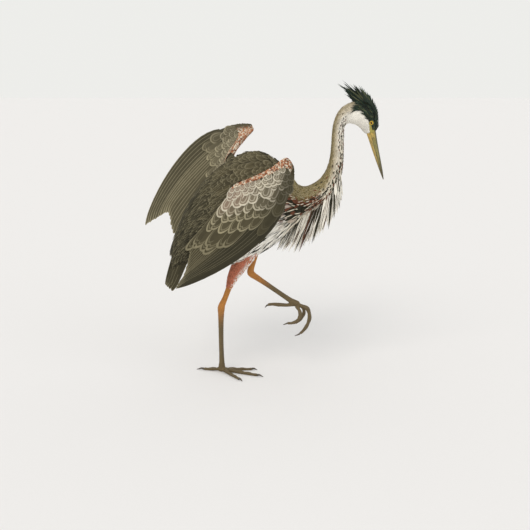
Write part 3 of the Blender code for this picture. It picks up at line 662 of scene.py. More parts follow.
def build_neck_plumage(tree, rng):
    """Narrow feathers all round, darker on the hind neck, and loose rows of dark dashes down the front."""
    coat = Coat()
    lay_on_body(coat, tree, rng, (5.0, 11.0), (0.0038, 0.0034), (0.0100, 0.014), (0.0018, 0.0024), "lance",
                everywhere, (-0.0016, 0.0008), (0.25, 0.42, 0.0), vary=0.24)
    lay_on_body(coat, tree, rng, (10.8, 15.4), (0.0056, 0.0044), (0.015, 0.022), (0.0025, 0.0036), "lance",
                everywhere, (-0.0018, 0.0010), (0.25, 0.42, 0.0), vary=0.26)

    def dashes(t, height):
        rows = np.sin(height * 34 + 0.4 * np.sin(t * 3.1))
        sparse = 0.90 - 0.86 * ramp(height, 0.34, 0.55)
        return (rows > -0.60) & (height > 0.02) & (rng.uniform(0, 1, len(t)) < sparse)

    for start, end, size in ((6.9, 9.4, 0.58), (9.4, 12.2, 0.74), (12.2, 15.0, 1.0)):
        lay_on_body(coat, tree, rng, (start, end), (0.0062, 0.0039), (0.0090 * size, 0.0102 * size),
                    (0.0016 * size, 0.0018 * size), "lance", dashes, (0.0002, 0.0022), (0.0, 0.0, 0.0),
                    jitter=0.10, tint=lambda t, chance: spot_colours(chance))
    return coat.make("neck_feathers", feather_material("neck_vanes", 14, 0.3, root=0.87), "plumage_pale")


def build_back_plumage(tree, rng):
    coat = Coat()
    lay_on_body(coat, tree, rng, (14.2, 16.4), (0.0070, 0.0060), (0.018, 0.024), (0.0036, 0.0046), "round",
                lambda t, h: h > 0.56, (-0.0030, 0.0012), (0.22, 0.30, 0.0), vary=0.26)
    lay_on_body(coat, tree, rng, (14.3, 18.4), (0.0082, 0.0076), (0.019, 0.026), (0.0038, 0.0054), "round",
                lambda t, h: (h > 0.12) & (h < 0.76 + ramp(t, 16.2, 16.6)), (-0.0030, 0.0012), (0.16, 0.44, 0.0),
                vary=0.24)
    lay_on_body(coat, tree, rng, (17.8, 21.8), (0.0105, 0.0112), (0.029, 0.036), (0.0080, 0.0094), "round",
                lambda t, h: h > 0.34, (-0.0040, 0.0014), (0.17, 0.10, 0.35), "broad", vary=0.20)
    lay_on_body(coat, tree, rng, (20.2, 25.0), (0.0310, 0.0066), (0.102, 0.060), (0.0060, 0.0054), "lance",
                lambda t, h: h > 0.40 - 0.32 * ramp(t, 20.6, 23), (-0.0030, 0.0026), (0.15, 0.16, 0.0), "broad",
                jitter=0.015, vary=0.40)
    return coat.make("back_feathers", feather_material("back_vanes", 22, 0.2), "plumage_grey")


def build_belly_plumage(tree, rng):
    coat = Coat()

    def under_flank(t, height):
        return height < 0.15 + 0.31 * ramp(t, 17.2, 18.2) - 0.30 * ramp(t, 21.5, 23.5)
    lay_on_body(coat, tree, rng, (15.6, 23.6), (0.0150, 0.0056), (0.040, 0.044), (0.0044, 0.0048), "lance",
                under_flank, (-0.0036, 0.0020), (0.0, 0.46, 0.0), jitter=0.05, vary=0.06)
    return coat.make("belly_feathers", feather_material("belly_vanes", 20, 0.3, root=0.93), "plumage_pale")


# Plumes that hang or stand free

def free_plumes(coat, rng, guides, count, spread, half, lengths, sag, colours, widths, gather, slant=0.0,
                stray=0.05, outer=0.0):
    """Plumes from a line of roots to a line of tips, in a fan. slant moves each root up the line from its tip.

    Plumes with outer set stand only on the fan's two sides, at least that share of the spread from its middle.
    """
    place = (np.arange(count) + rng.uniform(0, 1, count)) / count
    last = len(guides) - 1
    root_row = on_curve(guides, (place - slant * ramp(place, 0.0, 0.6)) * last)
    tip_row = on_curve(guides, place * last)
    lateral = np.clip(rng.normal(0, 0.5, count), -1, 1)
    if outer:
        lateral = np.where(lateral < 0, -1, 1) * rng.uniform(outer, 1, count)
    root = np.stack((root_row[:, 0], MID_Y + lateral * spread, root_row[:, 1]), 1)
    tip = np.stack((tip_row[:, 2], MID_Y + lateral * spread * gather, tip_row[:, 3]), 1)
    tip = root + (tip - root) * rng.uniform(*lengths, count)[:, None]
    tip += rng.normal(0, stray, (count, 3)) * np.linalg.norm(tip - root, axis=1)[:, None] * np.array((1, 0.6, 1))
    middle = (root + tip) / 2 + np.array((0, 0, 1)) * sag * np.linalg.norm(tip - root, axis=1)[:, None]
    middle += np.stack((0 * lateral, lateral * spread * 0.5, 0 * lateral), 1)
    s = shares("lance")[None, :, None]
    path = root[:, None] * (1 - s) ** 2 + middle[:, None] * 2 * s * (1 - s) + tip[:, None] * s ** 2
    outwards = np.stack((0.2 + 0 * lateral, np.where(lateral < 0, -1.0, 1.0), 0.2 + 0 * lateral), 1)
    outwards += rng.normal(0, 0.25, (count, 3))
    along = unit(np.gradient(path, axis=1))
    up = outwards[:, None] - along * (outwards[:, None] * along).sum(-1, keepdims=True)
    bake = np.stack((0.02 + 0.96 * place, 0.5 + 0.45 * lateral), 1)
    coat.add(path, unit(up), half * rng.uniform(0.75, 1.2, count), "lance", bake, colours(place, rng),
             widths=widths, thick=0.0003, camber=0.15)


def crest_colours(place, rng):
    sheen = blend(srgb(46, 66, 50), srgb(98, 102, 68), rng.uniform(0, 1, len(place)) < 0.25)
    main = blend(INK * 0.8, sheen, rng.uniform(0, 1, len(place)) ** 1.6)
    return main, main * 1.5, INK * 0.5 + 0 * main


def build_crest(tree, rng):
    """Long plumes off the crown and nape, over shorter shaggy ones that lie on the crown."""
    coat = Coat()
    widths = (0.25, 0.10, 0.0)
    free_plumes(coat, rng, CREST, 300, 0.0100, 0.0015, (0.55, 1.0), 0.05, crest_colours, widths, 0.30)
    free_plumes(coat, rng, CREST, 260, 0.0125, 0.0013, (0.25, 0.60), 0.03, crest_colours, widths, 0.7, stray=0.10)
    lay_on_body(coat, tree, rng, (0.4, 5.3), (0.0034, 0.0030), (0.014, 0.024), (0.0013, 0.0014), "lance",
                lambda t, h: h > crown_edge(t), (-0.0008, 0.0042), widths, jitter=0.22, vary=0.3,
                tint=lambda t, chance: crest_colours(t, rng))
    return coat.make("crest_plumes", feather_material("crest_vanes", 26, 0.75), "plumage_black", "crest")


def breast_colours(place, rng):
    ground = blend(WHITE, CREAM, 0.5 * rng.uniform(0, 1, len(place)))
    dark = blend(DARK * 0.6, CHESTNUT, 0.4 * (rng.uniform(0, 1, len(place)) < 0.25))
    all_dark = np.arange(len(place)) % 9 == 4
    main = blend(ground, dark * 1.1, all_dark)
    shaft = blend(dark, ground, rng.uniform(0, 1, len(place)) < 0.36)
    return main, ground, shaft


def streak_colours(place, rng):
    main = blend(DARK * 0.8, CHESTNUT * 0.7, 0.7 * (rng.uniform(0, 1, len(place)) < 0.15))
    return main, main, main


def build_breast_plumes(rng):
    coat = Coat()
    free_plumes(coat, rng, PLUMES, 240, 0.0170, 0.0034, (0.74, 1.0), -0.04, breast_colours, (0.0, 0.44, 0.0),
                0.55, slant=0.16, stray=0.030)
    free_plumes(coat, rng, PLUMES, 230, 0.0210, 0.0034, (0.40, 0.80), -0.03, breast_colours, (0.0, 0.44, 0.0),
                0.9, slant=0.12, stray=0.035)
    free_plumes(coat, rng, PLUMES, 76, 0.0226, 0.0017, (0.42, 0.96), -0.035, streak_colours, (0.0, 0.0, 0.0),
                0.8, slant=0.14, stray=0.035, outer=0.5)
    finish = feather_material("breast_vanes", 34, 0.3, root=0.93)
    return coat.make("breast_feathers", finish, "plumage_pale", "breast_plumes")


# Wings

def wing_points(guides, u, v):
    values = on_curve(guides, u * (len(guides) - 1))
    edge, bend, tip = values[:, :3], values[:, 3:6], values[:, 6:]
    v = np.asarray(v)[:, None]
    return edge * (1 - v) ** 2 + bend * (2 * v * (1 - v)) + tip * v ** 2


def wing_normals(guides, u, v, outwards):
    """Normals that point away from the body, or towards it if outwards is -1."""
    e = 0.01
    du = wing_points(guides, np.minimum(u + e, 1), v) - wing_points(guides, np.maximum(u - e, 0), v)
    low, high = np.clip(v - e, 0, 0.98), np.clip(v + e, 0.02, 1)
    dv = wing_points(guides, u, high) - wing_points(guides, u, low)
    return unit(np.cross(du, dv)) * outwards


def wing_half_thickness(thick, u, v):
    bone = between(thick, u) / 2
    nose = NOSE_SHARE + (1 - NOSE_SHARE) * np.sqrt(np.clip(v / WING_DEEPEST, 0, 1))
    return VANE_THICK / 2 + (bone - VANE_THICK / 2) * nose * (1 - ramp(v, WING_DEEPEST, COVERT_EDGE))


def wing_paths(guides, thick, u, v, length, outline, face, lift, sweep):
    """Centre lines on one face of a wing, from roots at (u, v) towards the trailing edge."""
    leading, trailing = (wing_points(guides, u, np.full(len(u), edge)) for edge in (0.0, 1.0))
    chord = np.linalg.norm(trailing - leading, axis=1)
    step = 0.008

    def rise_at(place, here):
        return wing_half_thickness(thick, place, np.maximum(here, 0)) * ramp(here, -0.012, 0.03)

    def at(s):
        here = v + s * length / chord
        place = np.clip(u + sweep * s, 0, 1)
        normal = wing_normals(guides, place, here, face)
        # the face leans back where the wing thickens behind its leading edge
        slope = (rise_at(place, here + step) - rise_at(place, here - step)) / (2 * step * chord)
        back = unit(wing_points(guides, place, here + step) - wing_points(guides, place, here - step))
        leaning = unit(normal - back * slope[:, None])
        surface = wing_points(guides, place, here) + normal * rise_at(place, here)[:, None]
        return surface + leaning * between(lift, s), leaning
    return traced(outline, at)


def run_along(guides, v, first, last, steps):
    """The length of a wing's line at v, from u first to last."""
    line = wing_points(guides, np.linspace(first, last, steps), np.full(steps, v))
    return np.linalg.norm(np.diff(line, axis=0), axis=1).sum()


def wing_row(coat, rng, guides, thick, face, row, colours, island):
    """One row of coverts. row is v, u from, u to, spacing, length, half width, outline and widths."""
    v, first, last, spacing, length, half, outline, widths = row
    run = run_along(guides, v, first, last, 40)
    count = max(int(run / spacing), 2)
    last = last - 0.75 * half / run  # the outermost one stays inside the wing's outline
    u = first + (last - first) * (np.arange(count) + rng.uniform(0.2, 0.8, count)) / count
    place = np.full(count, v) + rng.uniform(-0.15, 0.15, count) * spacing / 0.2
    long = length * rng.uniform(0.9, 1.1, count)
    lift = (-0.0012, 0.0010) if v < 0.16 else (-0.0002, 0.0026)
    path, up = wing_paths(guides, thick, u, place, long, outline, face, lift, rng.normal(0, 0.012, count))
    main, margin, shaft = colours(u, np.full(count, v), rng.uniform(0, 1, count))
    shade = rng.uniform(0.9, 1.08, count)[:, None]
    bake = np.stack((0.02 + 0.46 * u + island[0], 0.02 + 0.46 * (place + 0.02) + island[1]), 1)
    section = "broad" if half > 0.006 else "narrow"
    coat.add(path, up, half * rng.uniform(0.92, 1.08, count), outline, bake,
             (main * shade, margin * shade, shaft), section, COVERT_THICK, COVERT_CAMBER, widths=widths)


def covert_rows(deep):
    """The rows of a wing's face, from the leading edge back, each larger than the one before it.

    deep is where the small spotted rows end.
    """
    rows = []
    for v in np.arange(0.008, deep, 0.011):
        rows.append((v, 0.0, 1.0, 0.0032, 0.0076, 0.0021, "small", (0.0, 0.0, 0.0)))
    for step, end, spacing, length, half, width in (
        (-0.004, 1.00, 0.0135, 0.025, 0.0088, 0.30), (0.034, 1.00, 0.0165, 0.030, 0.0106, 0.30),
        (0.056, 1.00, 0.0185, 0.034, 0.0118, 0.29),
        (0.078, 1.00, 0.0205, 0.040, 0.0134, 0.27), (0.132, 1.00, 0.0225, 0.050, 0.0150, 0.24),
        (0.192, 1.00, 0.0225, 0.060, 0.0150, 0.20), (0.254, 1.00, 0.0215, 0.070, 0.0142, 0.17),
        (0.318, 0.97, 0.0205, 0.082, 0.0132, 0.15),
    ):
        rows.append((deep + step, 0.0, end, spacing, length, half, "round", (width, 0.0, 0.55)))
    for v, end in ((0.455, 0.70), (0.540, 0.52)):
        rows.append((v, 0.0, end, 0.0180, 0.108, 0.0132, "strap", (0.13, 0.0, 0.55)))
    return rows


def wing_colours(side, facing):
    """Colours over one face of a wing: orange spots along the arm, dark towards the hand, pale scallops between.

    facing is 1 on the face turned away from the body, and -1 on the other.
    """
    deep = spotted_depth(side, facing)

    def colours(u, v, chance):
        ground = blend(COVERT_PALE, ROSY, 0.55 * (1 - ramp(u, 0.12, 0.45)) * (1 - ramp(v, 0.16, 0.34)))
        ground = blend(ground, SLATE, 0.9 * ramp(v, 0.14, 0.34))
        ground = blend(ground, SLATE * 0.72, ramp(v, 0.34, 0.55))
        edge = blend(PALE_EDGE + 0 * ground, QUIET_EDGE, ramp(v, 0.16, 0.34))
        edge = blend(edge, blend(SLATE, QUIET_EDGE, 0.55), ramp(v, 0.36, 0.48))
        hand = ramp(u, 0.66, 0.84)
        if side == "left":
            ground = blend(ground, DRAB, 0.8)
            edge = blend(edge, QUIET_EDGE, 0.8)
            hand = 0.4 * hand
        ground = blend(ground, blend(SLATE, DARK, 0.5), hand)
        band = (v < deep - 0.006) * (1 - ramp(u, 0.80, 0.93))
        spots = blend(ORANGE, CREAM, chance > (0.60 if side == "left" else 0.68))
        spots = blend(spots, CHESTNUT * 1.15, chance < (0.14 if side == "left" else 0.26))
        main = blend(ground, spots, band)
        margin = blend(main, edge, (1 - 0.9 * hand) * (1 - band))
        return main, margin, main * 0.6
    return colours


def spotted_depth(side, facing):
    """How far back the small orange spots reach."""
    return 0.126 if side == "left" and facing < 0 else 0.060


def build_coverts(side, rng):
    coat = Coat()
    guides = WINGS[side]
    outer = outward_sign(side)
    for facing, island in ((1, (0.0, 0.0)), (-1, (0.5, 0.0))):
        for row in covert_rows(spotted_depth(side, facing)):
            if side == "right" or facing > 0 or row[0] < 0.34:
                wing_row(coat, rng, guides, WING_THICK, outer * facing, row, wing_colours(side, facing), island)
    lay_on_edge(coat, rng, side)
    shoulder = np.array((SHOULDERS[side], guides[0]))
    for facing, island in ((1, (0.0, 0.5)), (-1, (0.5, 0.5))):
        for v, spacing, length, half, outline in (
            (0.02, 0.012, 0.028, 0.0095, "round"), (0.10, 0.014, 0.034, 0.0110, "round"),
            (0.18, 0.014, 0.042, 0.0110, "round"), (0.27, 0.010, 0.070, 0.0066, "lance"),
            (0.36, 0.009, 0.085, 0.0064, "lance"), (0.46, 0.009, 0.095, 0.0062, "lance"),
            (0.57, 0.009, 0.100, 0.0060, "lance"), (0.68, 0.009, 0.095, 0.0058, "lance"),
        ):
            row = (v, 0.15, 1.0, spacing, length, half, outline, (0.22, 0.0, 0.4))
            wing_row(coat, rng, shoulder, SHOULDER_THICK, outer * facing, row, scapular_colours(side), island)
    return coat.make(f"wing_coverts_{side}", feather_material(f"covert_vanes_{side}", 42, 0.2), "plumage_grey")


def lay_on_edge(coat, rng, side):
    """Small spotted feathers round the blunt leading edge, from one face to the other, pointing to the hand."""
    guides = WINGS[side]
    facing = outward_sign(side)
    end = 0.97  # as far out as they go
    run = run_along(guides, 0.0, 0, end, 60)
    count = int(run / 0.0034)
    for k, level in enumerate(np.linspace(-0.70, 0.70, 9)):  # height off the middle, in shares of the bone
        u = end * (np.arange(count) + 0.5 * (k % 2) + rng.uniform(-0.25, 0.25, count)) / count
        here = np.full(count, WING_DEEPEST * max((abs(level) - NOSE_SHARE) / (1 - NOSE_SHARE), 0) ** 2)

        def at(s):
            place = np.clip(u + s * end * 0.0080 / run, 0, 1)
            normal = wing_normals(guides, place, here, facing)
            back = unit(wing_points(guides, place, here + 0.02) - wing_points(guides, place, here))
            out = unit(normal * level * 1.3 - back * (1 - 0.8 * abs(level)))
            raised = normal * (between(WING_THICK, place) / 2 * level)[:, None]
            return wing_points(guides, place, here) + raised + out * (0.0018 * s - 0.0006), out
        path, ups = traced("small", at)
        colours = wing_colours(side, 1)(u, 0 * u, rng.uniform(0, 1, count))
        bake = np.stack((0.02 + 0.46 * u, 0.487 + 0.006 * level + 0 * u), 1)
        half = 0.0021 * rng.uniform(0.9, 1.1, count)
        coat.add(path, ups, half, "small", bake, colours, thick=COVERT_THICK, camber=COVERT_CAMBER)


def scapular_colours(side):
    rosy = 0.6 if side == "right" else 0.0

    def colours(u, v, chance):
        main = blend(MANTLE_GREY, ROSY, rosy * ramp(u, 0.6, 0.95) * (1 - ramp(v, 0.12, 0.30)))
        main = blend(main, DARK, 0.9 * ramp(v, 0.14, 0.34))
        return main, blend(main, QUIET_EDGE, 0.62), main * 0.6
    return colours


def outward_sign(side):
    """Which way round the wing's own normals point away from the body."""
    guides = WINGS[side]
    normal = wing_normals(guides, np.array((0.5,)), np.array((0.4,)), 1)[0]
    away = -1 if side == "right" else 1
    return 1 if normal[1] * away > 0 else -1


def build_flight(side, rng):
    """The long feathers of arm and hand, each lying over the next one out."""
    coat = Coat()
    guides = WINGS[side]
    outer = outward_sign(side)
    left = side == "left"
    count = FLIGHT_FEATHERS
    u = (np.arange(count) + 0.5) / count
    reach = (0.26, 1.0 - 0.004 * (np.arange(count) % 2))

    def at(s):
        here = between(reach, s)
        return wing_points(guides, u, here), wing_normals(guides, u, here, outer)
    path, ups = traced("quill", at)
    inmost, outmost = (wing_points(guides, np.full(1, end), np.full(1, 0.6)) for end in (0.0, 1.0))
    half = np.where(u < WRIST, 0.0138, 0.0105) * np.linalg.norm(outmost - inmost) / 0.14
    hand = ramp(u, 0.6, 0.75)
    ground = blend(DRAB, SLATE, 0.6) if left else SLATE * 0.85
    main = blend(ground, blend(ground, DARK, 0.8), hand * (0.4 if left else 1.0))
    margin = blend(main, QUIET_EDGE, 0.80 if left else 0.50 - 0.10 * hand)
    shade = rng.uniform(0.92, 1.08, count)[:, None]
    bake = np.stack((0.02 + 0.96 * u, np.full(count, 0.5)), 1)
    coat.add(path, ups, half, "quill", bake, (main * shade, margin * shade, DARK * 0.6), "broad", 0.00035,
             camber=0.06, tilt=0.14, patch=(0.03, 0.94), widths=(0.13 if left else 0.11, 0.06, 0.0))
    finish = feather_material(f"quill_vanes_{side}", 60, 0.3, STIFF_TIP)
    nodes = (f"wing_{side}_secondaries", f"wing_{side}_primaries")
    return coat.make(f"wing_quills_{side}", finish, "plumage_grey", *nodes)


def build_tail():
    """Twelve stiff feathers folded as a roof."""
    coat = Coat()
    along = np.array(TAIL_TIP - TAIL_ROOT)
    down = unit(np.array((-along[2], 0, along[0])))
    u = (np.arange(TAIL_FEATHERS) + 0.5) / TAIL_FEATHERS * 2 - 1

    def at(s):
        width, arch = between(TAIL_HALF_WIDTH, s), between(TAIL_ARCH, s)
        reach = s * (0.95 + 0.05 * u * u)
        sideways = np.stack((0 * u, width * u * 0.9, 0 * u), 1)
        path = np.array(TAIL_ROOT) + along * reach[:, None] + sideways + down * (arch * u * u)[:, None]
        return path, unit(-down + np.stack((0 * u, 2 * arch * u / width, 0 * u), 1))
    path, ups = traced("strap", at)
    main = blend(SLATE, DARK, 0.6)
    colours = (main, blend(main, QUIET_EDGE, 0.5), DARK * 0.6)
    bake = np.stack((0.5 + 0.46 * u, np.full(len(u), 0.5)), 1)
    coat.add(path, ups, np.full(len(u), 0.0112), "strap", bake, colours, "broad", 0.0004, tilt=0.06,
             patch=(0.06, 0.9), widths=(0.10, 0.05, 0.0))
    finish = feather_material("tail_vanes", 60, 0.3, STIFF_TIP)
    return coat.make("tail_feathers", finish, "plumage_grey", "tail")


# Legs

def limb_paths(line, along, angle, length, outline, lift, sweep, front):
    """Centre lines round a limb, from places along it at angles from its front."""
    total = len(line) - 1
    pace = np.linalg.norm(np.diff(np.array(line)[:, :3], axis=0), axis=1).mean()

    def at(s):
        here = np.clip(along + s * length / pace, 0, total)
        behind, values, ahead = (on_curve(line, np.clip(here + step, 0, total)) for step in (-0.05, 0, 0.05))
        way = unit(ahead[:, :3] - behind[:, :3])
        forward = unit(front - way * (way @ front)[:, None])
        turn = (angle + sweep * s)[:, None]
        out = forward * np.cos(turn) + np.cross(way, forward) * np.sin(turn)
        return values[:, :3] + out * (values[:, 3] + between(lift, s))[:, None], out
    return traced(outline, at)


def build_thighs(rng):
    coat = Coat()
    for side, line in THIGHS.items():
        total = len(line) - 1
        along, angle = [], []
        for k, here in enumerate(np.arange(0.0, total - 0.05, 0.115)):
            radius = on_curve(line, here)[0, 3]
            count = max(int(2 * math.pi * radius / 0.0036), 8)
            along.append(np.full(count, here) + rng.uniform(-0.03, 0.03, count))
            turn = np.arange(count) + 0.5 * (k % 2) + rng.uniform(-0.2, 0.2, count)
            angle.append(turn / count * 2 * math.pi)
        along, angle = np.clip(np.concatenate(along), 0, total), np.concatenate(angle)
        length = 0.017 - 0.0050 * along / total
        sweep = rng.normal(0, 0.05, len(along))
        path, ups = limb_paths(line, along, angle, length, "small", (-0.0025, 0.0004), sweep,
                               np.array((1.0, 0, 0)))
        front = (np.cos(angle) + 1) / 2
        main = blend(ROSE, WHITE, ramp(front, 0.50, 0.85) * (rng.uniform(0, 1, len(along)) < 0.7))
        main = blend(main, CHESTNUT * 1.3, 0.6 * (rng.uniform(0, 1, len(along)) < 0.35) * (1 - front))
        island = 0.0 if side == "left" else 0.5
        bake = np.stack((0.01 + island + 0.48 * (angle / (2 * math.pi) % 1), 0.01 + 0.98 * along / total), 1)
        coat.add(path, ups, np.full(len(along), 0.0024), "small", bake, (main, main * 1.15, main * 0.62),
                 widths=(0.25, 0.25, 0.0), thick=0.0002, camber=0.1)
    return coat.make("thigh_feathers", feather_material("thigh_vanes", 14, 0.4), "plumage_rufous")


def toe_line(part):
    """The standing foot's toe, swelling at its joints: x, y, z, radius."""
    heading, length, radius = TOES_RIGHT[part]
    way = np.array((math.cos(math.radians(heading)), math.sin(math.radians(heading))))
    steps = 2 * TOE_JOINTS[part]
    rows = []
    for k in range(1, steps + 1):
        s = k / steps
        r = radius * (1 - 0.32 * s) * (1 + JOINT_SWELLING * math.cos(math.pi * k))
        rows.append((*(way * (0.004 + (length - 0.004) * s)), r * 0.86 + 0.0022 * (1 - s) ** 2, r))
    return rows


def lifted_toe_line(part):
    rows = [(*point, TOES_RIGHT[part][2] * taper) for point, taper in zip(TOES_LEFT[part], LIFTED_TAPER)]
    k = np.arange(2 * TOE_JOINTS[part] + 1)
    line = on_curve(rows, 4 * k / k[-1])
    line[:, 3] *= 1 + JOINT_SWELLING * np.cos(math.pi * k)
    return line[1:]


def build_scutes():
    """Broad plates down the front of each shank below the heel, and narrow ones over each toe."""
    coat = Coat()
    limbs = [(TARSI["right"], 0.0058, (1.0, -0.2, 0), LEG_NARROW, (0.0, 0.0)),
             (TARSI["left"], 0.0058, (1.0, 0, 0.35), LEG_NARROW, (0.5, 0.0))]
    for k, part in enumerate(TOES_RIGHT):
        limbs.append((toe_line(part), 0.0036, (0.0, 0, 1.0), 1.05, (0.12 * k, 0.5)))
        limbs.append((lifted_toe_line(part), 0.0036, (0.6, -0.25, 0.75), 1.0, (0.5 + 0.12 * k, 0.5)))
    for line, pitch, front, scale, island in limbs:
        run = np.linalg.norm(np.diff(np.array(line)[:, :3], axis=0), axis=1)
        marks = np.arange(pitch, run.sum() - pitch, pitch)
        along = np.interp(marks, np.concatenate(([0], np.cumsum(run))), np.arange(len(line)))
        local = np.interp(along, np.arange(len(run)) + 0.5, run)
        length = pitch * 1.12 * run.mean() / local  # each laps over the next
        path, ups = limb_paths(line, along, 0 * along, length, "scute", (-0.0002, 0.00012), 0 * along,
                               np.array(front))
        radius = on_curve(line, along)[:, 3]
        centre = path - ups * radius[:, None, None]
        main = leg_colours(centre[:, 1]) * 0.8
        bake = np.stack((0.03 + island[0] + 0 * along, 0.03 + island[1] + 0.4 * marks / run.sum()), 1)
        coat.add(centre, ups, radius * scale + 0.0001, "scute", bake, (main, main * 1.5, main),
                 section="shin" if scale == LEG_NARROW else "toe", widths=(0.12, 0.0, 0.0), thick=0.00030)
    return coat.make("leg_scutes", scute_material(), "leg_skin")


# Finishes

class Value:
    """An output of one of a finish's nodes. Sums and products written with it become Math nodes."""

    def __init__(self, finish, socket):
        self.finish, self.socket = finish, socket

    def maths(self, operation, *others):
        return self.finish.node("Math", dict(enumerate((self, *others))), operation=operation)

    def __add__(self, other):
        return self.maths("ADD", other)

    def __sub__(self, other):
        return self.maths("SUBTRACT", other)

    def __rsub__(self, other):
        return self * -1.0 + other

    def __mul__(self, other):
        return self.maths("MULTIPLY", other)

    def __abs__(self):
        return self.maths("ABSOLUTE")

    __radd__, __rmul__ = __add__, __mul__

    def over(self, limit):
        return self.maths("GREATER_THAN", limit)

    def ramp(self, low, high):
        """0 below low, 1 above high, smooth between."""
        return self.finish.node("MapRange", {"Value": self, "From Min": low, "From Max": high},
                                interpolation_type="SMOOTHSTEP")

    def other(self, output):
        """Another output of the same node."""
        return Value(self.finish, self.socket.node.outputs[output])


class Finish:
    """A new material. What is the same all over it is set on its shader's own sockets."""

    def __init__(self, name, roughness, specular, **sockets):
        self.material = bpy.data.materials.new(name)
        self.material.use_nodes = True
        self.tree = self.material.node_tree
        self.shader = self.tree.nodes["Principled BSDF"]
        for socket, value in {"Roughness": roughness, "Specular_IOR_Level": specular, **sockets}.items():
            self.shader.inputs[socket.replace("_", " ")].default_value = value
        self.place = self.node("TexCoord", output="Object")

    def node(self, kind, values=None, output=0, **settings):
        """A new node's output. Its inputs are linked to outputs or given values."""
        made = self.tree.nodes.new("ShaderNode" + kind)
        for key, value in settings.items():
            setattr(made, key, value)
        for key, value in (values or {}).items():
            if isinstance(value, Value):
                self.tree.links.new(value.socket, made.inputs[key])
            else:
                made.inputs[key].default_value = value
        return Value(self, made.outputs[output])

    def vector(self, operation, *vectors, output=0):
        return self.node("VectorMath", dict(enumerate(vectors)), output, operation=operation)

    def mix(self, share, a, b, blend_type="MIX"):
        a, b = (value if isinstance(value, Value) else (*value, 1) for value in (a, b))
        return self.node("Mix", {0: share, 6: a, 7: b}, 2, data_type="RGBA", blend_type=blend_type)

    def noise(self, scale, detail=3.0, place=None):
        return self.node("TexNoise", {"Vector": place or self.place, "Scale": scale, "Detail": detail,
                                      "Roughness": 0.55})

    def clouds(self, scale, amount, detail=3.0):
        """A value that drifts above and below 0 from place to place."""
        return (self.noise(scale, detail) - 0.5) * amount

    def layer(self, name):
        """The colour of one of the layers that the mesh carries."""
        return self.node("Attribute", output="Color", attribute_name=name)

    def vane_place(self):
        """Place across a vane and along it, both 0 to 1."""
        across = self.node("SeparateXYZ", {"Vector": self.node("UVMap", uv_map="Vane")})
        return across, across.other(1)

    def coloured(self, colour, light=None):
        """Gives the shader its colour, lighter or darker by a value round 1."""
        if light is not None:
            grey = self.node("CombineColor", {0: light, 1: light, 2: light})
            colour = self.mix(1.0, colour, grey, "MULTIPLY")
        self.tree.links.new(colour.socket, self.shader.inputs["Base Color"])

    def bumped(self, height, strength, distance):
        bump = self.node("Bump", {"Height": height, "Strength": strength, "Distance": distance})
        self.tree.links.new(bump.socket, self.shader.inputs["Normal"])


def feather_material(name, barbs, shine, tip=0.385, root=0.82):
    """Vane, margin and shaft coloured by the feather's own layers, with barbs that slant to the tip.

    tip is the share of the length over which the margin turns round the feather's end, and root the lightness of
    its root against its tip.
    """
    made = Finish(name, 0.92 - 0.5 * shine, 0.25)
    main, margin, shaft = (made.layer(label) for label in LAYERS)
    wide, streak, second = (colour.other("Alpha") for colour in (main, margin, shaft))
    across, along = made.vane_place()
    across = abs(across * 2.0 - 1.0)
    # distance from the edge, 0 there and 1 on the shaft, rounded at the tip
    to_tip = (along * (1 / tip) + (1 - 1 / tip)).maths("MAXIMUM", 0.0)
    edge = 1.0 - (across * across + to_tip * to_tip).maths("SQRT")
    on_margin = (1.0 - edge.ramp(wide * 0.7, wide * 1.25)) * wide.over(0.001)
    # a second, fainter pale line inside the margin
    inner = 1.0 - abs(edge - wide * 2.4).ramp(wide * 0.12, wide * 0.65)
    on_margin = on_margin.maths("MAXIMUM", inner * second)
    # the shaft's streak narrows to the tip
    reach = streak * (along * -0.55 + 1.1)
    on_shaft = (1.0 - across.ramp(reach * 0.6, reach)) * streak.over(0.01)
    colour = made.mix(on_shaft, made.mix(on_margin, main, margin), shaft)
    barb = ((across * -0.35 + along) * (2 * math.pi * barbs)).maths("SINE")
    light = barb * 0.06 + root + along * 0.18 + made.clouds(55.0, 0.35) + made.clouds(900.0, 0.25, 2.0)
    made.coloured(colour, light)
    ridge = 1.0 - across.ramp(0.0, 0.10)
    made.bumped(ridge * 1.4 + barb, 0.5, 0.00012)
    return made.material


def skin_material():
    """The coat's markings under the feathers, and scaly bare skin on shanks, feet and lores."""
    made = Finish("heron_skin", 0.62, 0.35)
    main = made.layer("main")
    bare = main.other("Alpha")
    fine = made.noise(700.0, 2.0)
    scales = made.node("TexVoronoi", {"Vector": made.place, "Scale": 520.0}, feature="DISTANCE_TO_EDGE")
    plate = scales.ramp(0.0, 0.12)
    groove = (1.0 - plate) * bare
    made.coloured(main, made.clouds(60.0, 0.5) + 0.98 + (fine - 0.5) * 0.3 - groove * 0.35)
    made.bumped(plate * bare + fine * 0.4, 0.6, 0.0003)
    return made.material


def scute_material():
    """Horny plates: a darker seam behind each, fine wrinkles along them."""
    made = Finish("leg_plates", 0.48, 0.4)
    _, along = made.vane_place()
    seam = along.ramp(0.0, 0.28)
    light = seam * 0.35 + 0.62 + along.ramp(0.72, 0.95) * 0.22 + made.clouds(160.0, 0.7)
    made.coloured(made.layer("main"), light)
    made.bumped(made.noise(1600.0, 2.0) * 0.6 + seam, 0.4, 0.0002)
    return made.material


BILL_ALONG = (BILL_TIP - BILL_ROOT).normalized()
BILL_UP = Vector((-BILL_ALONG.z, 0, BILL_ALONG.x))


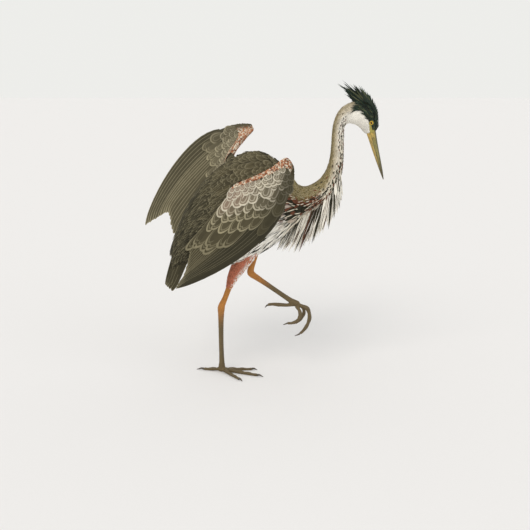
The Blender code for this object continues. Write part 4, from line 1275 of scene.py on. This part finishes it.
def bill_material():
    """Horn: orange at the base, straw yellow along, brown ridge and point, with fine length lines."""
    made = Finish("bill_horn_finish", 0.34, 0.5)
    from_root = made.vector("SUBTRACT", made.place, tuple(BILL_ROOT))
    far, high = (made.vector("DOT_PRODUCT", from_root, tuple(way), output="Value")
                 for way in (BILL_ALONG, BILL_UP))
    sideways = made.node("SeparateXYZ", {"Vector": made.place}, 1)
    lines = made.node("CombineXYZ", {0: high, 1: sideways, 2: far * 0.05})
    grain = made.noise(520.0, 3.0, lines)
    colour = made.mix(far.ramp(0.0, 0.034), srgb(188, 160, 78), srgb(144, 135, 76))
    for share, over in (
        ((high + far * 0.085 - 0.0125).ramp(-0.0045, 0.0010) * 0.9, (74, 72, 42)),  # the ridge
        ((1.0 - high.ramp(-0.0034, -0.0006)) * 0.60, (204, 168, 92)),  # the lower half
        (made.noise(1100.0, 2.0, lines).ramp(0.52, 0.60) * 0.75, (72, 66, 40)),  # streaks
        (far.ramp(0.060, 0.120) * 0.9, (84, 78, 54)),  # the point
        ((1.0 - abs(high).ramp(0.0003, 0.0010)) * 0.8, (60, 48, 30)),  # the gape
    # the gape: a painted shade line where the two halves meet
    ):
        colour = made.mix(share, colour, srgb(*over))
    made.coloured(colour, (grain - 0.5) * 1.9 + 0.96 + made.clouds(90.0, 0.4))
    made.bumped(grain, 0.35, 0.0002)
    return made.material


def mottled_material(name, roughness, specular, cloud_scale, grain_scale, stretch, colours, strength, distance):
    """Two colours in clouds, with a third in grains that are drawn out along Z where stretch is under 1."""
    made = Finish(name, roughness, specular)
    dark, pale, groove = (srgb(*colour) for colour in colours)
    lines = made.node("Mapping", {"Vector": made.place, "Scale": (1.0, 1.0, stretch)})
    grain = made.noise(grain_scale, 3.0, lines)
    made.coloured(made.mix(grain * 0.5, made.mix(made.noise(cloud_scale), dark, pale), groove))
    made.bumped(grain, strength, distance)
    return made.material


def eye_material(side):
    """Black pupil, yellow iris with rays and a dark rim, under a wet gloss."""
    made = Finish(f"eye_finish_{side}", 0.08, 0.3, Coat_Weight=0.3, Coat_Roughness=0.02)
    off = made.vector("SUBTRACT", made.place, (EYE.x, 0.0, EYE.z))
    flat = made.vector("MULTIPLY", off, (1.0, 0.0, 1.0))
    away = made.vector("LENGTH", flat, output="Value")
    rays = made.noise(9.0, 4.0, made.vector("NORMALIZE", flat))
    colour = made.mix(away.ramp(0.0029, 0.0048), srgb(224, 160, 30), srgb(236, 206, 60))
    for share, over in (
        (rays.ramp(0.45, 0.75) * 0.5, (176, 112, 20)),
        (away.ramp(0.0046, 0.0053), (30, 24, 16)),  # the rim
        (1.0 - away.ramp(0.0027, 0.0030), (3, 3, 3)),  # the pupil
    ):
        colour = made.mix(share, colour, srgb(*over))
    made.coloured(colour)
    return made.material


# Bill, eyes and claws, by hand

def edit(select=None):
    bpy.ops.object.mode_set(mode="EDIT")
    if select:
        bpy.ops.mesh.select_all(action=select)


def done(name):
    """Leaves edit mode, freezes the object's place into its mesh and names it."""
    bpy.ops.object.mode_set(mode="OBJECT")
    bpy.ops.object.transform_apply(location=True, rotation=True, scale=True)
    piece = bpy.context.active_object
    piece.name = name
    piece.data.name = name
    return piece


def draw_out(step, value, height):
    """Extrudes the chosen face upwards by a step and scales it where it ends."""
    bpy.ops.mesh.extrude_region_move(TRANSFORM_OT_translate={"value": (0, 0, step)})
    bpy.ops.transform.resize(value=value, center_override=(0, 0, height))


def build_bill_half(half):
    """A long cone drawn out station by station, split along the gape, with its cutting edge softened."""
    column, sign = (1, 1) if half == "upper" else (2, -1)
    rows = on_curve(BILL, np.linspace(0, len(BILL) - 1, 26))
    rows[0, 0] = -0.007  # the root sits inside the face
    point = 0.0008  # how far the rounded point goes past the last station
    deselect()
    bpy.ops.mesh.primitive_circle_add(vertices=40, radius=1, fill_type="NGON", location=(0, 0, rows[0, 0]))
    edit()
    bpy.ops.transform.resize(value=(rows[0, 3], rows[0, column], 1))
    for before, after in zip(rows, rows[1:]):
        draw_out(after[0] - before[0], (after[3] / before[3], after[column] / before[column], 1), after[0])
    draw_out(point, (0.25, 0.25, 1), rows[-1, 0] + point)
    bpy.ops.mesh.select_all(action="SELECT")
    bpy.ops.mesh.bisect(plane_co=(0, sign * 0.00004, 0), plane_no=(0, sign, 0), use_fill=True, clear_inner=True)
    clean()
    piece = done(f"bill_{half}_horn")
    # stands the cone, drawn out along its own Z, on the bill's line: X across, Y towards the ridge
    turn = Matrix((BILL_UP.cross(BILL_ALONG), BILL_UP, BILL_ALONG)).transposed().to_4x4()
    piece.matrix_world = Matrix.Translation(BILL_ROOT) @ turn
    done(piece.name)
    if half == "upper":
        cut_nostrils(piece)
    apply_modifier(piece, "BEVEL", width=0.0004, segments=2, limit_method="ANGLE", angle_limit=math.radians(55))
    deselect()
    piece.select_set(True)
    bpy.ops.object.shade_smooth_by_angle(angle=math.radians(50))
    return placed(piece, bill_material(), "bill_horn", f"bill_{half}")


def cut_nostrils(piece):
    """A slit nostril on each side and the long shallow groove that runs on from it."""
    for sign in (-1, 1):
        for far, high, out, size in ((0.021, 0.0050, 0.00780, (0.0010, 0.0022, 0.0048)),
                                     (0.042, 0.0044, 0.00687, (0.0012, 0.0008, 0.0260))):
            spot = BILL_ROOT + BILL_ALONG * far + BILL_UP * high
            deselect()
            bpy.ops.mesh.primitive_uv_sphere_add(segments=20, ring_count=12, radius=1,
                                                 location=(spot.x, MID_Y + sign * out, spot.z))
            cutter = bpy.context.active_object
            cutter.scale = size
            cutter.rotation_euler = (0, math.atan2(-BILL_ALONG.x, -BILL_ALONG.z), 0)
            done("nostril")
            apply_modifier(piece, "BOOLEAN", object=cutter, operation="DIFFERENCE", solver="EXACT")
            bpy.data.objects.remove(cutter)


def build_eye(side):
    sign = -1 if side == "right" else 1
    upright = (math.radians(90), 0, 0)
    deselect()
    bpy.ops.mesh.primitive_uv_sphere_add(segments=48, ring_count=28, radius=EYE_RADIUS, rotation=upright,
                                         location=(EYE.x, MID_Y + sign * EYE_OUT, EYE.z))
    eye = done(f"eyeball_{side}")
    eye.data.shade_smooth()
    placed(eye, eye_material(side), "eye", f"eye_{side}")
    # lids: a ring, with a second, thinner fold round it
    rings = []
    for radius, thick, out, sides in ((0.0059, 0.00115, 0.0041, 12), (0.0074, 0.0009, 0.0028, 10)):
        bpy.ops.mesh.primitive_torus_add(major_segments=56, minor_segments=sides, major_radius=radius,
                                         minor_radius=thick, rotation=upright,
                                         location=(EYE.x, MID_Y + sign * (EYE_OUT + out), EYE.z))
        rings.append(bpy.context.active_object)
    deselect()
    for ring in rings:
        ring.select_set(True)
    bpy.context.view_layer.objects.active = rings[0]
    bpy.ops.object.join()
    lids = done(f"lids_{side}")
    # drawn out to a corner before the eye and one behind it
    middle = np.array((EYE.x, EYE.z))
    way = unit(np.array((BILL_ROOT.x - EYE.x + 0.006, BILL_ROOT.z - EYE.z)))
    across = np.array((-way[1], way[0]))
    points = vertex_rows(lids.data.vertices)
    flat = points[:, (0, 2)] - middle
    along = flat @ way
    corner = np.abs(along) / np.linalg.norm(flat, axis=1)
    flat = flat + way * (0.0016 * np.sign(along) * np.maximum(corner - 0.72, 0) / 0.28)[:, None]
    points[:, (0, 2)] = middle + flat - across * (flat @ across * 0.06)[:, None]
    points[:, 1] -= sign * 0.0010 * np.maximum(corner - 0.6, 0) / 0.4
    lids.data.vertices.foreach_set("co", points.astype(np.float32).ravel())
    lids.data.shade_smooth()
    skin = mottled_material("lid_skin", 0.5, 0.4, 260.0, 1500.0, 1.0, LID_BROWNS, 0.7, 0.0003)
    placed(lids, skin, "bill_horn")


def root_in_toe(claw, toe):
    """Draws the claw's root back into the end of its toe, and swells it there, so that no gap shows."""
    flesh = tree_of(toe)
    middle = Vector(vertex_rows(toe.data.vertices).mean(0))
    for vertex in claw.data.vertices:
        spot, _, _, gap = flesh.find_nearest(vertex.co)
        share = float(1 - ramp(gap, 0.0006, 0.0022))
        vertex.co += (middle - spot).normalized() * 0.0022 * share


def build_claws():
    claws = mottled_material("claw_horn_finish", 0.38, 0.5, 140.0, 900.0, 0.3, CLAW_BROWNS, 0.3, 0.0001)
    for side in SIDES:
        for toe in TOES_RIGHT:
            piece = fused(f"talon_{toe}_{side}", [f"claw_{toe}_{side}"], 0.00035, 6, swell=0.00015)
            root_in_toe(piece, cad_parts[f"toe_{toe}_{side}"])
            placed(piece, claws, "claw_horn", f"claw_{toe}_{side}")


# Studio

def build_studio():
    deselect()
    bpy.ops.mesh.primitive_plane_add(size=80, location=(0, 0, -0.0002))
    floor = done("studio_floor")
    paper = Finish("studio_paper", 0.9, 0.1)
    paper.coloured(paper.mix(paper.noise(240.0), srgb(229, 228, 229), srgb(234, 233, 234)))
    floor.data.materials.append(paper.material)
    world = bpy.data.worlds.new("studio_air")
    bpy.context.scene.world = world
    world.use_nodes = True
    world.node_tree.nodes["Background"].inputs[0].default_value = (1.0, 1.0, 0.97, 1)
    world.node_tree.nodes["Background"].inputs[1].default_value = 0.85
    for name, place, spread, power, colour in (
        ("key_light", (-1.2, -2.4, 2.8), 34, 1.0, (255, 249, 240)),
        ("fill_light", (2.4, -1.6, 1.2), 50, 0.35, (242, 247, 255)),
    ):
        bpy.ops.object.light_add(type="SUN", location=place)
        light = bpy.context.active_object
        light.name = name
        light.data.angle = math.radians(spread)
        light.data.energy = power
        light.data.color = srgb(*colour)
        aim = Vector((0.05, 0, 0.45)) - light.location
        light.rotation_euler = aim.to_track_quat("-Z", "Y").to_euler()
    bpy.ops.object.camera_add(location=(0.127, -2.445369, 0.838779), rotation=(math.radians(78), 0, 0))
    camera = bpy.context.active_object
    camera.name = "studio_camera"
    camera.data.sensor_width = 36
    camera.data.lens = 59.16
    bpy.context.scene.camera = camera
    bpy.context.scene.view_settings.view_transform = "Standard"


def build_coat(tree):
    rng = np.random.default_rng(SEED)
    for build in (build_head_plumage, build_neck_plumage, build_back_plumage, build_belly_plumage, build_crest):
        build(tree, rng)
    build_breast_plumes(rng)
    for side in SIDES:
        build_coverts(side, rng)
        build_flight(side, rng)
    build_tail()
    build_thighs(rng)
    build_scutes()


def main():
    deselect()
    build_studio()
    body = fused("body_form", BODY_NODES, 0.0026, 6)
    surface = tree_of(body)
    bpy.data.objects.remove(body)
    build_claws()
    build_skin()
    build_coat(surface)
    for half in ("upper", "lower"):
        build_bill_half(half)
    for side in SIDES:
        build_eye(side)
    bpy.context.view_layer.update()


main()
